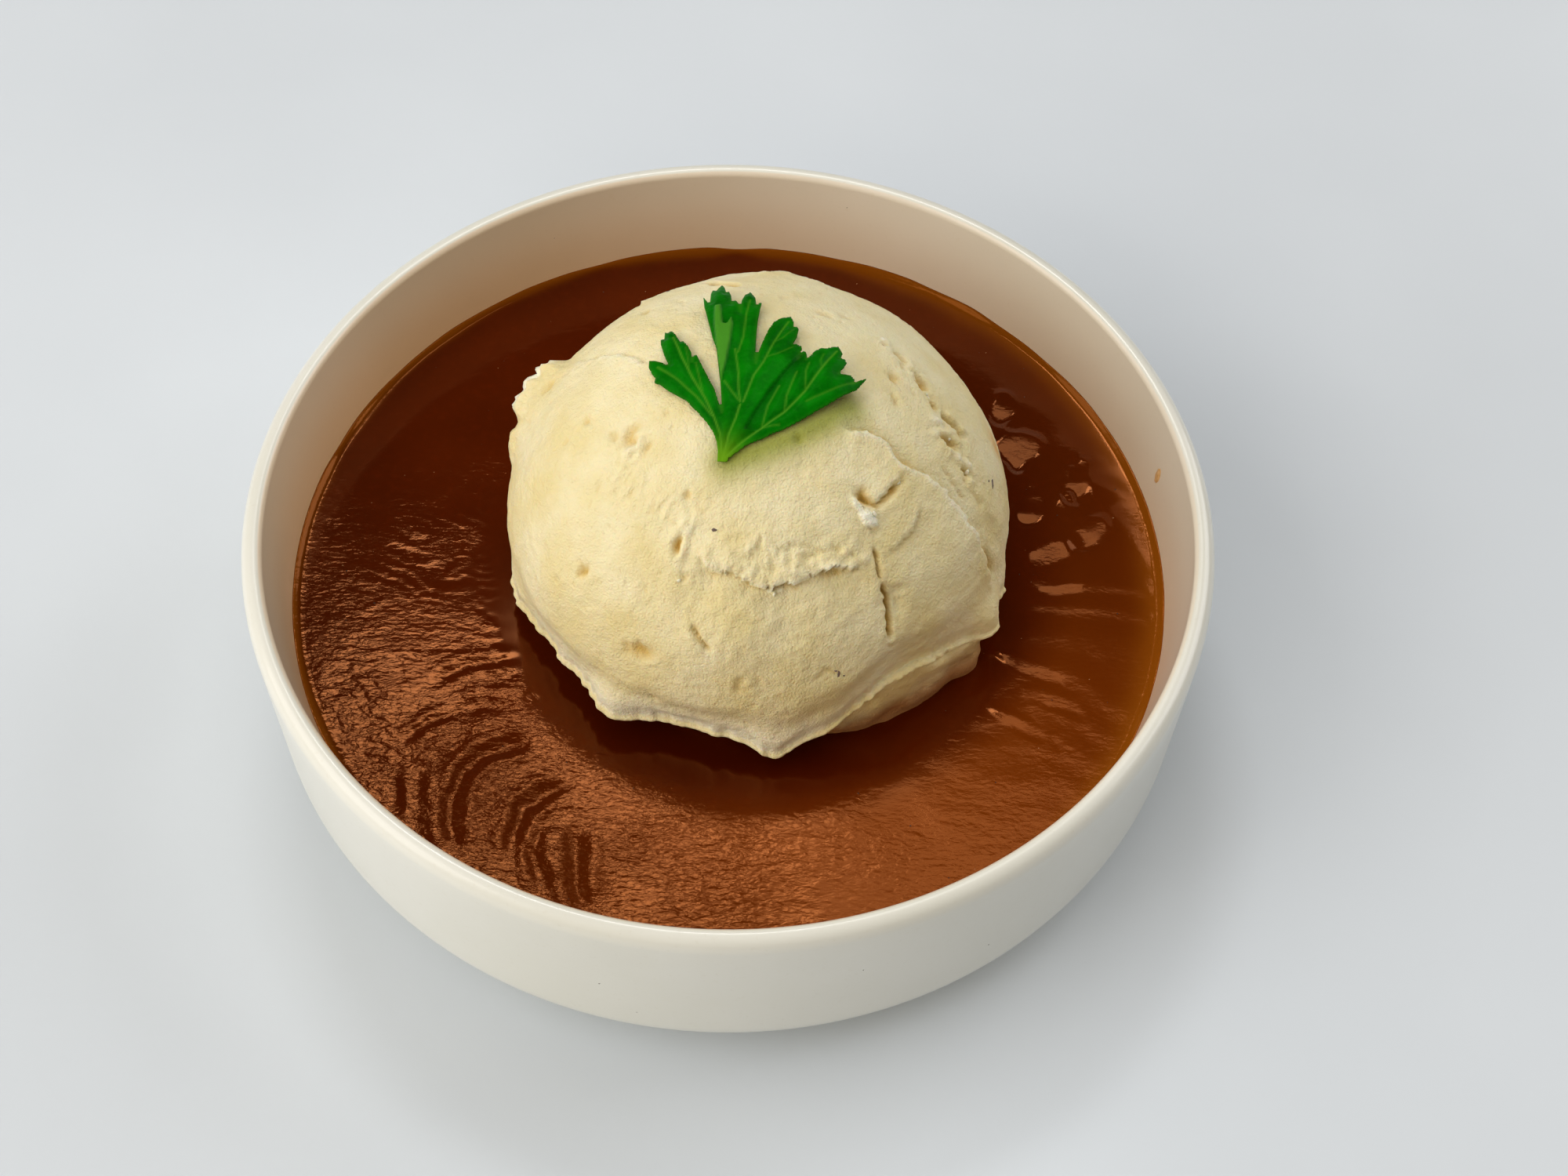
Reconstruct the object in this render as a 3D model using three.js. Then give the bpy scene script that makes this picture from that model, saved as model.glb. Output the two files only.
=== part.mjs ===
// A side of mashed potato: one scoop standing in a shallow straight-sided bowl of gravy,
// with a flat-leaf parsley leaf laid on top. Millimetres, +Z up. The origin is on the
// bowl's axis, on the surface that the bowl stands on.
import * as THREE from "three";
import { TessellateModifier } from "three/addons/modifiers/TessellateModifier.js";
import { mergeVertices } from "three/addons/utils/BufferGeometryUtils.js";

// Every round piece is cut into this many steps about its axis.
const STEPS = 64;
// Clearance kept between pieces that touch.
const GAP = 0.3;

// The bowl.
const BOWL_R = 68;
const BOWL_H = 37.4;
const RIM_THICKNESS = 3;
const WALL_FOOT_R = 67.4;
const CORNER_H = 11.1;
const FOOT_R = 47.5;
const FOOT_H = 1;
const FOOT_WIDTH = 3;
const FLOOR_Z = 5;
const INNER_R_AT_GRAVY = 63;
const INNER_CORNER_H = 10;
const INNER_FLOOR_R = 46;

// The gravy: its level, and the low swells left by the ladle.
const GRAVY_LEVEL = 21.9;
const SWELL_HEIGHT = 0.35;
const SWELL_PITCH = 9;
// The ladle's arcs run about this point, and each waves sideways a little as it goes.
const SWELL_CENTRE = { x: -24, y: -46 };
const SWELL_WAVE = 3;
const SWELL_WAVE_LENGTH = 11;
// The swells die out over this far from the wall, and between these distances of the scoop.
const SWELL_FADE = 6;
const CALM_R = 37;
const SWELL_FULL_R = 44;
const MENISCUS_RISE = 0.7;
const MENISCUS_WIDTH = 2.5;
// Where the loops of the gravy's surface lie, as shares of the way from the scoop to the wall.
const SURFACE_SHARES = [0, 0.2, 0.45, 0.7, 0.9, 1];

// The scoop of mashed potato: a ball pressed from a round scoop, with the skirt that is
// squeezed out where the scoop's mouth was, over a body that stands on the bowl's floor.
const SCOOP = { x: 3.9, y: 3.4, z: 27.2, r: 36.4 };
const DOME_RINGS = 17;
const TROUGH_ELEVATION = 12;
const TROUGH_DEPTH = 0.7;
const TROUGH_WIDTH = 6;
const SKIRT_R = 35.6;
const SKIRT_Z = 26;
const SKIRT_RAISED_Z = 32.5;
// The skirt is raised about this bearing: fully within the first angle, not past the second.
const RAISED_BEARING = 318;
const RAISED_WITHIN = 20;
const RAISED_UP_TO = 38;
// The skirt's thickness, how much its edge slants in, how many degrees above it the ball
// ends, and the body's swell just under it.
const SKIRT_LIP = 1.6;
const LIP_SLANT = 0.2;
const LIP_ROUNDING = 2;
const BODY_SWELL = 0.3;
const SWELL_BELOW_LIP = 1.2;
const BODY_R = 34;
const BODY_FOOT_R = 31;
// How far below the gravy's level the body starts to narrow towards its foot.
const SHOULDER_DEPTH = 1;

// Where the skirt runs out into flaps: bearing in degrees, how far, and half-width.
const SKIRT_FLAPS = [
  { bearing: 239, reach: 2.0, width: 8 },
  { bearing: 276, reach: 1.7, width: 6 },
  { bearing: 336, reach: 2.2, width: 11 },
  { bearing: 200, reach: 1.4, width: 14 },
];

// Bumps and hollows on the ball: bearing and elevation in degrees, half-widths in
// degrees along each, and height in mm (negative is a hollow).
const BALL_RELIEF = [
  { bearing: 158, elevation: 24, across: 9, up: 5, height: 3.1 },
  { bearing: 279, elevation: 46, across: 22, up: 4, height: 0.9 },
  { bearing: 302, elevation: 36, across: 2.5, up: 11, height: -1.4 },
  { bearing: 309, elevation: 54, across: 5, up: 3, height: -1.4 },
  { bearing: 10, elevation: 46, across: 8, up: 9, height: -0.7 },
];

// The parsley leaf, laid on the crown: the foot of its stem, its thickness, how far it
// stands off the potato at the stem, and how much more it lifts for each mm from there.
const STEM = { x: -0.7, y: -10.8 };
const STEM_HALF_WIDTH = 0.6;
const LEAF_THICKNESS = 0.5;
const LEAF_CLEARANCE = 0.45;
const LEAF_LIFT = 0.07;
const LEAF_CELL = 3;

// The leaf's tooth tips and notches in turn, from the right of the stem round to its
// left: bearing in degrees and distance in mm from the foot of the stem.
const LEAF_EDGE = [
  [27, 4], [30, 13], [33, 20.6], [35.8, 22.9], [41, 19.9], [44.6, 22.1], [50.2, 22.7],
  [54.5, 18.2], [57.6, 19.3], [59, 18.1], [60.1, 19.6], [64.7, 20.6], [66.3, 22.9],
  [70.9, 24.7], [75, 20.6], [77, 16.4], [80, 22], [81.1, 26.6], [84.8, 28.9], [88, 26.3],
  [92.8, 31.3], [95.5, 29.6], [97.6, 27.9], [94.8, 18.4], [91.8, 7.2], [100.9, 12.7],
  [104.8, 16.6], [108.4, 20.2], [109.9, 22.5], [114.4, 22], [117.8, 17], [122.9, 19.3],
  [125.8, 15.8], [117.2, 5.6],
];

const radians = THREE.MathUtils.degToRad;
const smoothstep = THREE.MathUtils.smoothstep;

// Degrees from one bearing to another, the short way round.
function turn(from, to) {
  return THREE.MathUtils.euclideanModulo(to - from + 180, 360) - 180;
}

function bell(distance) {
  return Math.exp(-distance * distance);
}

// Points of a quarter ellipse about (cx, cz), from angle a to angle b in degrees.
function arc(cx, cz, rx, rz, a, b, count) {
  return Array.from({ length: count + 1 }, (_, i) => {
    const t = radians(a + ((b - a) * i) / count);
    return new THREE.Vector2(cx + rx * Math.cos(t), cz + rz * Math.sin(t));
  });
}

// Turns a profile of radius and height about the Z axis.
function turned(profile) {
  return new THREE.LatheGeometry(profile, STEPS).rotateX(Math.PI / 2);
}

// The bowl's inner wall from the rim down to the floor's edge, moved inwards by inset.
function innerWall(inset) {
  const rimInnerR = BOWL_R - RIM_THICKNESS;
  const slope = (rimInnerR - INNER_R_AT_GRAVY) / (BOWL_H - RIM_THICKNESS / 2 - GRAVY_LEVEL);
  const cornerTop = FLOOR_Z + INNER_CORNER_H;
  const cornerR = INNER_R_AT_GRAVY - slope * (GRAVY_LEVEL - cornerTop);
  const corner = arc(
    INNER_FLOOR_R, cornerTop, cornerR - INNER_FLOOR_R - inset, INNER_CORNER_H - inset, 0, -90, 7,
  );
  return { slope, corner };
}

function innerRadiusAt(z, inset) {
  return INNER_R_AT_GRAVY + innerWall(0).slope * (z - GRAVY_LEVEL) - inset;
}

function bowlGeometry() {
  const lipR = RIM_THICKNESS / 2;
  const profile = [
    new THREE.Vector2(0, FOOT_H),
    new THREE.Vector2(FOOT_R - FOOT_WIDTH - FOOT_H, FOOT_H),
    new THREE.Vector2(FOOT_R - FOOT_WIDTH, 0),
    new THREE.Vector2(FOOT_R, 0),
    ...arc(FOOT_R, FOOT_H + CORNER_H, WALL_FOOT_R - FOOT_R, CORNER_H, -84, 0, 7),
    ...arc(BOWL_R - lipR, BOWL_H - lipR, lipR, lipR, 0, 180, 6),
    ...innerWall(0).corner,
    new THREE.Vector2(0, FLOOR_Z),
  ];
  return turned(profile);
}

// How far a sum of flaps carries the skirt out at a bearing.
function flapReach(bearing) {
  return SKIRT_FLAPS.reduce(
    (sum, f) => sum + f.reach * bell(turn(f.bearing, bearing) / f.width), 0,
  );
}

// The skirt is low at the left and front, and rides up round the right.
function skirtHeight(bearing) {
  const away = Math.abs(turn(RAISED_BEARING, bearing));
  const raised = 1 - smoothstep(away, RAISED_WITHIN, RAISED_UP_TO);
  return SKIRT_Z + (SKIRT_RAISED_Z - SKIRT_Z) * raised;
}

// The ball's radius at a bearing and an elevation in degrees.
function ballRadius(bearing, elevation) {
  const relief = BALL_RELIEF.reduce((sum, b) => {
    const across = (turn(b.bearing, bearing) * Math.cos(radians(elevation))) / b.across;
    const up = (elevation - b.elevation) / b.up;
    return sum + b.height * bell(Math.hypot(across, up));
  }, 0);
  const trough = TROUGH_DEPTH * bell((elevation - TROUGH_ELEVATION) / TROUGH_WIDTH);
  return SCOOP.r + relief - trough;
}

// The scoop's outline at one bearing, from the crown down to the foot.
function scoopProfile(bearing) {
  const skirtZ = skirtHeight(bearing);
  const skirtR = SKIRT_R + flapReach(bearing);
  const lipTop = THREE.MathUtils.radToDeg(Math.asin((skirtZ + SKIRT_LIP - SCOOP.z) / SCOOP.r));
  const lowest = lipTop + LIP_ROUNDING;
  const ball = Array.from({ length: DOME_RINGS }, (_, i) => {
    const elevation = 90 - ((90 - lowest) * (i + 1)) / DOME_RINGS;
    const r = ballRadius(bearing, elevation);
    const t = radians(elevation);
    return new THREE.Vector2(r * Math.cos(t), SCOOP.z + r * Math.sin(t));
  });
  return [
    ...ball,
    new THREE.Vector2(skirtR, skirtZ + SKIRT_LIP / 2),
    new THREE.Vector2(skirtR - LIP_SLANT, skirtZ - SKIRT_LIP / 2),
    new THREE.Vector2(BODY_R + BODY_SWELL, skirtZ - SWELL_BELOW_LIP * SKIRT_LIP),
    new THREE.Vector2(BODY_R, GRAVY_LEVEL - SHOULDER_DEPTH),
    new THREE.Vector2(BODY_FOOT_R, FLOOR_Z + GAP),
  ];
}

// Joins loops of points, all of one length, into a closed skin. Each loop runs anticlockwise
// seen from above. With ends, the first and last loop are closed by a fan to a point.
function skin(loops, top, bottom) {
  const count = loops[0].length;
  const points = loops.flat();
  const faces = [];
  const at = (row, i) => row * count + (i % count);
  const rows = top ? loops.length - 1 : loops.length;
  for (let row = 0; row < rows; row += 1) {
    const next = (row + 1) % loops.length;
    for (let i = 0; i < count; i += 1) {
      faces.push(at(row, i), at(next, i), at(next, i + 1));
      faces.push(at(row, i), at(next, i + 1), at(row, i + 1));
    }
  }
  if (top) {
    const last = loops.length - 1;
    const topAt = points.push(top) - 1;
    const bottomAt = points.push(bottom) - 1;
    for (let i = 0; i < count; i += 1) {
      faces.push(topAt, at(0, i), at(0, i + 1));
      faces.push(bottomAt, at(last, i + 1), at(last, i));
    }
  }
  const geometry = new THREE.BufferGeometry().setFromPoints(points);
  geometry.setIndex(faces);
  geometry.computeVertexNormals();
  return geometry;
}

function bearings() {
  return Array.from({ length: STEPS }, (_, i) => (360 * i) / STEPS);
}

// A point at a bearing and distance from a centre.
function polar(centre, bearing, distance, z) {
  const t = radians(bearing);
  return new THREE.Vector3(
    centre.x + distance * Math.cos(t), centre.y + distance * Math.sin(t), z,
  );
}

function scoopGeometry() {
  const profiles = bearings().map(scoopProfile);
  const loops = profiles[0].map((_, row) =>
    bearings().map((bearing, i) => polar(SCOOP, bearing, profiles[i][row].x, profiles[i][row].y)),
  );
  const crown = new THREE.Vector3(SCOOP.x, SCOOP.y, SCOOP.z + SCOOP.r);
  const foot = new THREE.Vector3(SCOOP.x, SCOOP.y, FLOOR_Z + GAP);
  return skin(loops, crown, foot);
}

// The gravy's surface: low swells, and a rise where it wets the bowl's wall.
function gravyHeight(x, y) {
  const fromWall = innerRadiusAt(GRAVY_LEVEL, GAP) - Math.hypot(x, y);
  const fromScoop = Math.hypot(x - SCOOP.x, y - SCOOP.y);
  const crest = Math.hypot(x - SWELL_CENTRE.x, y - SWELL_CENTRE.y)
    + SWELL_WAVE * Math.sin(x / SWELL_WAVE_LENGTH);
  const swell = SWELL_HEIGHT * Math.sin((2 * Math.PI * crest) / SWELL_PITCH);
  const strength = smoothstep(fromWall, 0, SWELL_FADE) * smoothstep(fromScoop, CALM_R, SWELL_FULL_R);
  return GRAVY_LEVEL + swell * strength + MENISCUS_RISE * bell(fromWall / MENISCUS_WIDTH);
}

// The gravy fills the bowl from its floor to its level, round the scoop's body.
function gravyGeometry() {
  const bowlAxis = { x: 0, y: 0 };
  const wallR = innerRadiusAt(GRAVY_LEVEL, GAP);
  const bodyR = BODY_R + GAP;
  const footR = BODY_FOOT_R + GAP;
  const surface = SURFACE_SHARES.map((share) =>
    bearings().map((bearing) => {
      const near = polar(SCOOP, bearing, bodyR, 0);
      const far = polar(bowlAxis, bearing, wallR, 0);
      const p = near.lerp(far, share);
      p.z = gravyHeight(p.x, p.y);
      return p;
    }),
  );
  const corner = innerWall(GAP).corner;
  const wall = corner.map((c) => bearings().map((b) => polar(bowlAxis, b, c.x, c.y)));
  const foot = bearings().map((b) => polar(SCOOP, b, footR, FLOOR_Z + GAP));
  const shoulder = bearings().map((b) => polar(SCOOP, b, bodyR, GRAVY_LEVEL - SHOULDER_DEPTH));
  return skin([shoulder, ...surface, ...wall, foot]);
}

// The height of the leaf's underside over the ball.
function leafHeight(x, y) {
  const across = Math.hypot(x - SCOOP.x, y - SCOOP.y);
  const r = SCOOP.r + LEAF_CLEARANCE + LEAF_LIFT * Math.hypot(x - STEM.x, y - STEM.y);
  return SCOOP.z + Math.sqrt(r * r - across * across);
}

// A flat blade with the leaf's outline, cut into small cells and laid over the crown.
function leafGeometry() {
  const edge = LEAF_EDGE.map(([bearing, distance]) => {
    const p = polar(STEM, bearing, distance, 0);
    return new THREE.Vector2(p.x, p.y);
  });
  const outline = new THREE.Shape([new THREE.Vector2(STEM.x + STEM_HALF_WIDTH, STEM.y), ...edge,
    new THREE.Vector2(STEM.x - STEM_HALF_WIDTH, STEM.y)]);
  const blade = new THREE.ExtrudeGeometry(outline, { depth: LEAF_THICKNESS, bevelEnabled: false });
  blade.deleteAttribute("normal");
  blade.deleteAttribute("uv");
  const cells = new TessellateModifier(LEAF_CELL, 12).modify(blade);
  const points = cells.getAttribute("position");
  for (let i = 0; i < points.count; i += 1) {
    const [x, y, z] = [points.getX(i), points.getY(i), points.getZ(i)];
    points.setZ(i, z + leafHeight(x, y));
  }
  const leaf = mergeVertices(cells, 1e-3);
  leaf.computeVertexNormals();
  return leaf;
}

function piece(name, geometry, color, roughness) {
  const material = new THREE.MeshStandardMaterial({ color, roughness, metalness: 0 });
  const mesh = new THREE.Mesh(geometry, material);
  mesh.name = name;
  return mesh;
}

const dish = new THREE.Group();
dish.add(piece("bowl", bowlGeometry(), 0xe9e6d8, 0.2));
dish.add(piece("gravy", gravyGeometry(), 0x6b2c0c, 0.15));
dish.add(piece("mashed_potato", scoopGeometry(), 0xefdfb4, 0.7));
dish.add(piece("parsley_leaf", leafGeometry(), 0x0b7305, 0.45));

export default dish;
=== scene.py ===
"""The finish of a side of mashed potato: a pressed scoop in a glazed bowl of gravy, with a parsley leaf."""
import math
import random

import bmesh
import bpy
import numpy as np
from mathutils import Matrix, Vector


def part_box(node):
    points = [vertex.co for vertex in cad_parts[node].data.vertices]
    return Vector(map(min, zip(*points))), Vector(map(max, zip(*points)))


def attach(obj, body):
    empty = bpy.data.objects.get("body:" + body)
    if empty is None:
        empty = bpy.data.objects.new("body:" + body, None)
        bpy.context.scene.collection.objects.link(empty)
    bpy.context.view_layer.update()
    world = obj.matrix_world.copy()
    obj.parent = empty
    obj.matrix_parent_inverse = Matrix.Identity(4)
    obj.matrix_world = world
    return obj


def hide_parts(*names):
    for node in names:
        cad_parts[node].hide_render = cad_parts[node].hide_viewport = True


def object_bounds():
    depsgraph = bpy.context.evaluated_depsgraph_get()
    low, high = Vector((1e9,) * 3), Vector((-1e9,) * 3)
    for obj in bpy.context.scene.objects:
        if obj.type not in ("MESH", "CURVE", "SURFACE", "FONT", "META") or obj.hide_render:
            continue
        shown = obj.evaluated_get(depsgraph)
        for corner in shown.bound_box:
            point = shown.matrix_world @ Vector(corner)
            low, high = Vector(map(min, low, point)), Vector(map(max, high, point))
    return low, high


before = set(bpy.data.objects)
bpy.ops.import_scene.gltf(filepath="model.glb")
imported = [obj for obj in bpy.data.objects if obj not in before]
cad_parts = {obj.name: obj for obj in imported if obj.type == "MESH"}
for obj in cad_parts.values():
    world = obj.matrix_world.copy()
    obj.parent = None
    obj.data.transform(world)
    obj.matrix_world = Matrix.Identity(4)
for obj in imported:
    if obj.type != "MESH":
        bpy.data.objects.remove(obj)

CAD_LOW, CAD_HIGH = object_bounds()
MM = 0.001
SEED = 7

# ---------------------------------------------------------------- sizes, in mm, from the frame

BOWL_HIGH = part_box("bowl")[1] / MM
GRAVY_LOW, GRAVY_HIGH = (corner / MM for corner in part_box("gravy"))
SCOOP_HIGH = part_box("mashed_potato")[1] / MM
LEAF_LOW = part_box("parsley_leaf")[0] / MM

# The bowl.
BOWL_R = BOWL_HIGH.x
BOWL_H = BOWL_HIGH.z
RIM_THICKNESS = 3.0
FOOT_R = 47.5
FOOT_H = 1.0
FOOT_WIDTH = 3.0
GAP = 0.3  # what the frame leaves between one solid and the next
FLOOR_Z = GRAVY_LOW.z - GAP
REST_Z = FLOOR_Z + GAP
BOWL_STEPS = 256

# The gravy: its level is the solid's top less the rise at the wall.
MENISCUS_RISE = 0.7
LEVEL = GRAVY_HIGH.z - MENISCUS_RISE
WALL_R = GRAVY_HIGH.x + GAP
GRAVY_STEPS = 720
GRAVY_RINGS = 112

# The scoop: a ball, whose top, right and back sides give its centre.
BALL_R = 36.4
BALL = np.array([SCOOP_HIGH.x - BALL_R + 0.1, SCOOP_HIGH.y - BALL_R + 0.1, SCOOP_HIGH.z - BALL_R])
SCOOP_STEPS = 620
SCOOP_RINGS = 160
BALL_RINGS = 120
BODY_R = 34.0
BODY_FOOT_R = 31.0

# The leaf: the foot of its stem is its lowest front point.
STEM = np.array([LEAF_LOW.x + 10.5, LEAF_LOW.y])

rng = np.random.default_rng(SEED)


# ---------------------------------------------------------------- small tools

def linear(hex_colour):
    """An sRGB hex colour as linear RGBA."""
    channels = [int(hex_colour[i:i + 2], 16) / 255 for i in (1, 3, 5)]
    return [c / 12.92 if c <= 0.04045 else ((c + 0.055) / 1.055) ** 2.4 for c in channels] + [1.0]


def smooth(low, high, x):
    """0 below low, 1 above high, and a smooth rise between."""
    t = np.clip((x - low) / (high - low), 0, 1)
    return t * t * (3 - 2 * t)


def bell(x):
    return np.exp(-x * x)


LATTICE = rng.uniform(-1, 1, (64, 64, 64))


def lumps(points, size, seed=0):
    """Smooth noise from -1 to 1 at points in mm, with lumps of the given size."""
    p = points / size + 17.3 * seed
    cell = np.floor(p).astype(int)
    f = p - cell
    f = f * f * (3 - 2 * f)
    total = 0
    for corner in range(8):
        step = np.array([corner & 1, corner >> 1 & 1, corner >> 2 & 1])
        weight = np.prod(np.where(step, f, 1 - f), axis=1)
        at = (cell + step) % 64
        total += weight * LATTICE[at[:, 0], at[:, 1], at[:, 2]]
    return total


def rough(points, size, octaves=3, seed=0):
    """Noise with finer and finer lumps, each half as high."""
    return sum(lumps(points, size / 2 ** k, seed + k) / 2 ** k for k in range(octaves))


def turned_from(bearing, centre):
    """Degrees from a centre bearing, the short way round."""
    return (bearing - centre + 180) % 360 - 180


def facing(bearing, centre, width):
    """1 at a centre bearing, falling off to either side over a width in degrees."""
    return bell(turned_from(bearing, centre) / width)


def pick(obj):
    """Selects this piece alone."""
    bpy.ops.object.select_all(action="DESELECT")
    obj.select_set(True)
    bpy.context.view_layer.objects.active = obj


def edit(obj):
    pick(obj)
    bpy.ops.object.mode_set(mode="EDIT")


def done():
    bpy.ops.object.mode_set(mode="OBJECT")


def settle(obj, name):
    """Names a piece and puts its place into its mesh."""
    obj.name = name
    obj.data.name = name
    pick(obj)
    bpy.ops.object.transform_apply(location=True, rotation=True, scale=True)
    bpy.ops.object.shade_smooth()
    return obj


def apply_modifiers(obj):
    pick(obj)
    for modifier in list(obj.modifiers):
        bpy.ops.object.modifier_apply(modifier=modifier.name)


def refine(obj, levels):
    """Cuts each face into four, so many times over, without moving the surface."""
    cuts = obj.modifiers.new("finer faces", "SUBSURF")
    cuts.subdivision_type = "SIMPLE"
    cuts.levels = levels
    apply_modifiers(obj)


def places(obj):
    """The piece's vertices in mm, as an array."""
    co = np.empty(len(obj.data.vertices) * 3)
    obj.data.vertices.foreach_get("co", co)
    return co.reshape(-1, 3) / MM


def move_to(obj, points):
    obj.data.vertices.foreach_set("co", (points * MM).ravel())
    obj.data.update()


def mark(obj, name, values):
    """Keeps one number for each vertex, which a material reads."""
    layer = obj.data.attributes.new(name, "FLOAT", "POINT")
    layer.data.foreach_set("value", values.astype(np.float32))


def quarter(cx, cz, rx, rz, start, end, count):
    """Points of an ellipse's arc about (cx, cz), between two angles in degrees."""
    turns = [math.radians(start + (end - start) * i / count) for i in range(count + 1)]
    return [(cx + rx * math.cos(t), cz + rz * math.sin(t)) for t in turns]


def spun(profile, steps, name):
    """Draws a profile of (radius, height) in mm point by point, and spins it about the Z axis."""
    bpy.ops.mesh.primitive_plane_add(size=MM, location=(0, 0, 0))
    obj = bpy.context.object
    edit(obj)
    bpy.ops.mesh.select_all(action="SELECT")
    bpy.ops.mesh.merge(type="CENTER")
    radius, height = profile[0]
    bpy.ops.transform.translate(value=(radius * MM, 0, height * MM))
    for here, there in zip(profile, profile[1:]):
        move = ((there[0] - here[0]) * MM, 0, (there[1] - here[1]) * MM)
        bpy.ops.mesh.extrude_region_move(TRANSFORM_OT_translate={"value": move})
    bpy.ops.mesh.select_all(action="SELECT")
    bpy.ops.mesh.spin(steps=steps, angle=2 * math.pi, center=(0, 0, 0), axis=(0, 0, 1))
    bpy.ops.mesh.select_all(action="SELECT")
    bpy.ops.mesh.remove_doubles(threshold=0.00001)
    bpy.ops.mesh.normals_make_consistent(inside=False)
    done()
    return settle(obj, name)


def distance_to(points, path):
    """The nearest point's distance and place on a flat path, for points in mm."""
    best = np.full(len(points), np.inf)
    foot = np.zeros((len(points), 2))
    for a, b in zip(path, path[1:]):
        run = b - a
        t = np.clip((points - a) @ run / (run @ run), 0, 1)
        there = a + t[:, None] * run
        away = np.linalg.norm(points - there, axis=1)
        closer = away < best
        best = np.where(closer, away, best)
        foot = np.where(closer[:, None], there, foot)
    return best, foot


def inside_of(points, loop):
    """Whether each point lies inside a closed loop."""
    crossings = np.zeros(len(points), int)
    x, y = points[:, 0], points[:, 1]
    for a, b in zip(loop, np.roll(loop, -1, axis=0)):
        spans = (a[1] > y) != (b[1] > y)
        with np.errstate(divide="ignore", invalid="ignore"):
            at = a[0] + (y - a[1]) * (b[0] - a[0]) / (b[1] - a[1])
        crossings += spans & (x < at)
    return crossings % 2 == 1


# ---------------------------------------------------------------- the bowl

INNER_SLOPE = (BOWL_R - RIM_THICKNESS - WALL_R) / (BOWL_H - RIM_THICKNESS / 2 - LEVEL)


def inner_radius(z):
    """The bowl's inner radius at a height above its corner."""
    return WALL_R + INNER_SLOPE * (z - LEVEL)


def make_bowl():
    """Foot ring, rounded corner, nearly upright wall, a rim rounder outside than in, and a flat floor."""
    corner_h = 11.1
    inner_corner_h = 10.0
    inner_floor_r = 46.0
    lean = 0.6
    wall_foot_r = BOWL_R - lean
    wall_foot_z = FOOT_H + corner_h
    round_r, round_h = 1.9, 2.2
    inner_round_r, inner_round_h = RIM_THICKNESS - round_r, 1.1
    foot_inner_round, foot_outer_round = 0.5, 0.6
    inner_corner_z = FLOOR_Z + inner_corner_h
    inner_corner_r = inner_radius(inner_corner_z)
    straight = BOWL_H - (wall_foot_z + round_h)
    profile = [(0, FOOT_H)]
    profile += [((FOOT_R - FOOT_WIDTH - FOOT_H) * k / 6, FOOT_H) for k in range(1, 7)]
    profile += quarter(
        FOOT_R - FOOT_WIDTH, foot_inner_round, foot_inner_round, foot_inner_round, 180, 270, 4)
    profile += quarter(
        FOOT_R - foot_outer_round, foot_outer_round, foot_outer_round, foot_outer_round, 270, 330, 4)
    profile += quarter(FOOT_R, wall_foot_z, wall_foot_r - FOOT_R, corner_h, -82, 0, 22)
    profile += [(wall_foot_r + lean * k / 6, wall_foot_z + straight * k / 6) for k in range(1, 6)]
    profile += quarter(BOWL_R - round_r, BOWL_H - round_h, round_r, round_h, 0, 90, 9)
    profile += quarter(
        BOWL_R - round_r, BOWL_H - inner_round_h, inner_round_r, inner_round_h, 90, 180, 7)[1:]
    profile += [(inner_radius(z), z) for z in np.linspace(BOWL_H - 3, inner_corner_z + 1, 8)]
    profile += quarter(
        inner_floor_r, inner_corner_z, inner_corner_r - inner_floor_r, inner_corner_h, 0, -90, 16)
    profile += [(inner_floor_r * (6 - k) / 6, FLOOR_Z) for k in range(1, 7)]
    obj = spun(profile, BOWL_STEPS, "glazed_bowl")
    points = places(obj)
    radius = np.hypot(points[:, 0], points[:, 1])
    inside = (radius < inner_radius(points[:, 2]) + 0.3) & (points[:, 2] > FLOOR_Z - 0.1)
    bearing = np.degrees(np.arctan2(points[:, 1], points[:, 0]))
    # Painted bounce light: the inner wall is painted warmer, most at the back left where it lies in shade
    # and the gravy lights it, and less towards the rim.
    painted_bounce = 0.45 + 0.55 * facing(bearing, 150, 60)
    mark(obj, "inside", inside * painted_bounce * (1 - 0.5 * smooth(LEVEL, BOWL_H, points[:, 2])))
    return obj


# ---------------------------------------------------------------- the scoop of potato

def around(bearing, bumps):
    """A sum of bumps round the scoop, each (bearing, reach, half-width in degrees)."""
    return sum(reach * facing(bearing, at, width) for at, reach, width in bumps)


SKIRT_BASE = 35.2
SKIRT_BUMPS = [
    (200, 1.7, 9), (238, 2.3, 6.5), (257, -0.7, 9), (276, 1.9, 5.5), (287, 0.9, 5), (305, -0.3, 10),
    (333, 3.3, 7), (345, 1.6, 7), (20, 0.8, 25), (75, 1.3, 14), (120, 0.9, 18),
]
SKIRT_Z = 26.0
SKIRT_RISES = [(307, 7.0, 17), (328, 2.2, 9), (341, 2.6, 8), (276, -1.7, 5), (90, 1.5, 30)]
BODY_BUMPS = [
    (205, -2.6, 26), (248, -3.0, 26), (282, -2.2, 12), (317, 0.7, 8), (330, 2.3, 6.5), (60, 0.8, 14),
]
LIP = 0.5
LIP_SHARE = 0.42  # how much of the way from the ball to the floor goes round the lip
LEDGE = 252  # the bearing at the middle of the ledge at the lower left


def skirt_radius(bearing):
    return SKIRT_BASE + around(bearing, SKIRT_BUMPS)


def skirt_height(bearing):
    return SKIRT_Z + around(bearing, SKIRT_RISES)


def body_radius(bearing):
    return BODY_R + around(bearing, BODY_BUMPS)


def on_ball(bearing, elevation):
    """The point of the ball at a bearing and an elevation, in mm from its centre."""
    b, e = math.radians(bearing), math.radians(elevation)
    return BALL_R * np.array([math.cos(b) * math.cos(e), math.sin(b) * math.cos(e), math.sin(e)])


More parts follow.
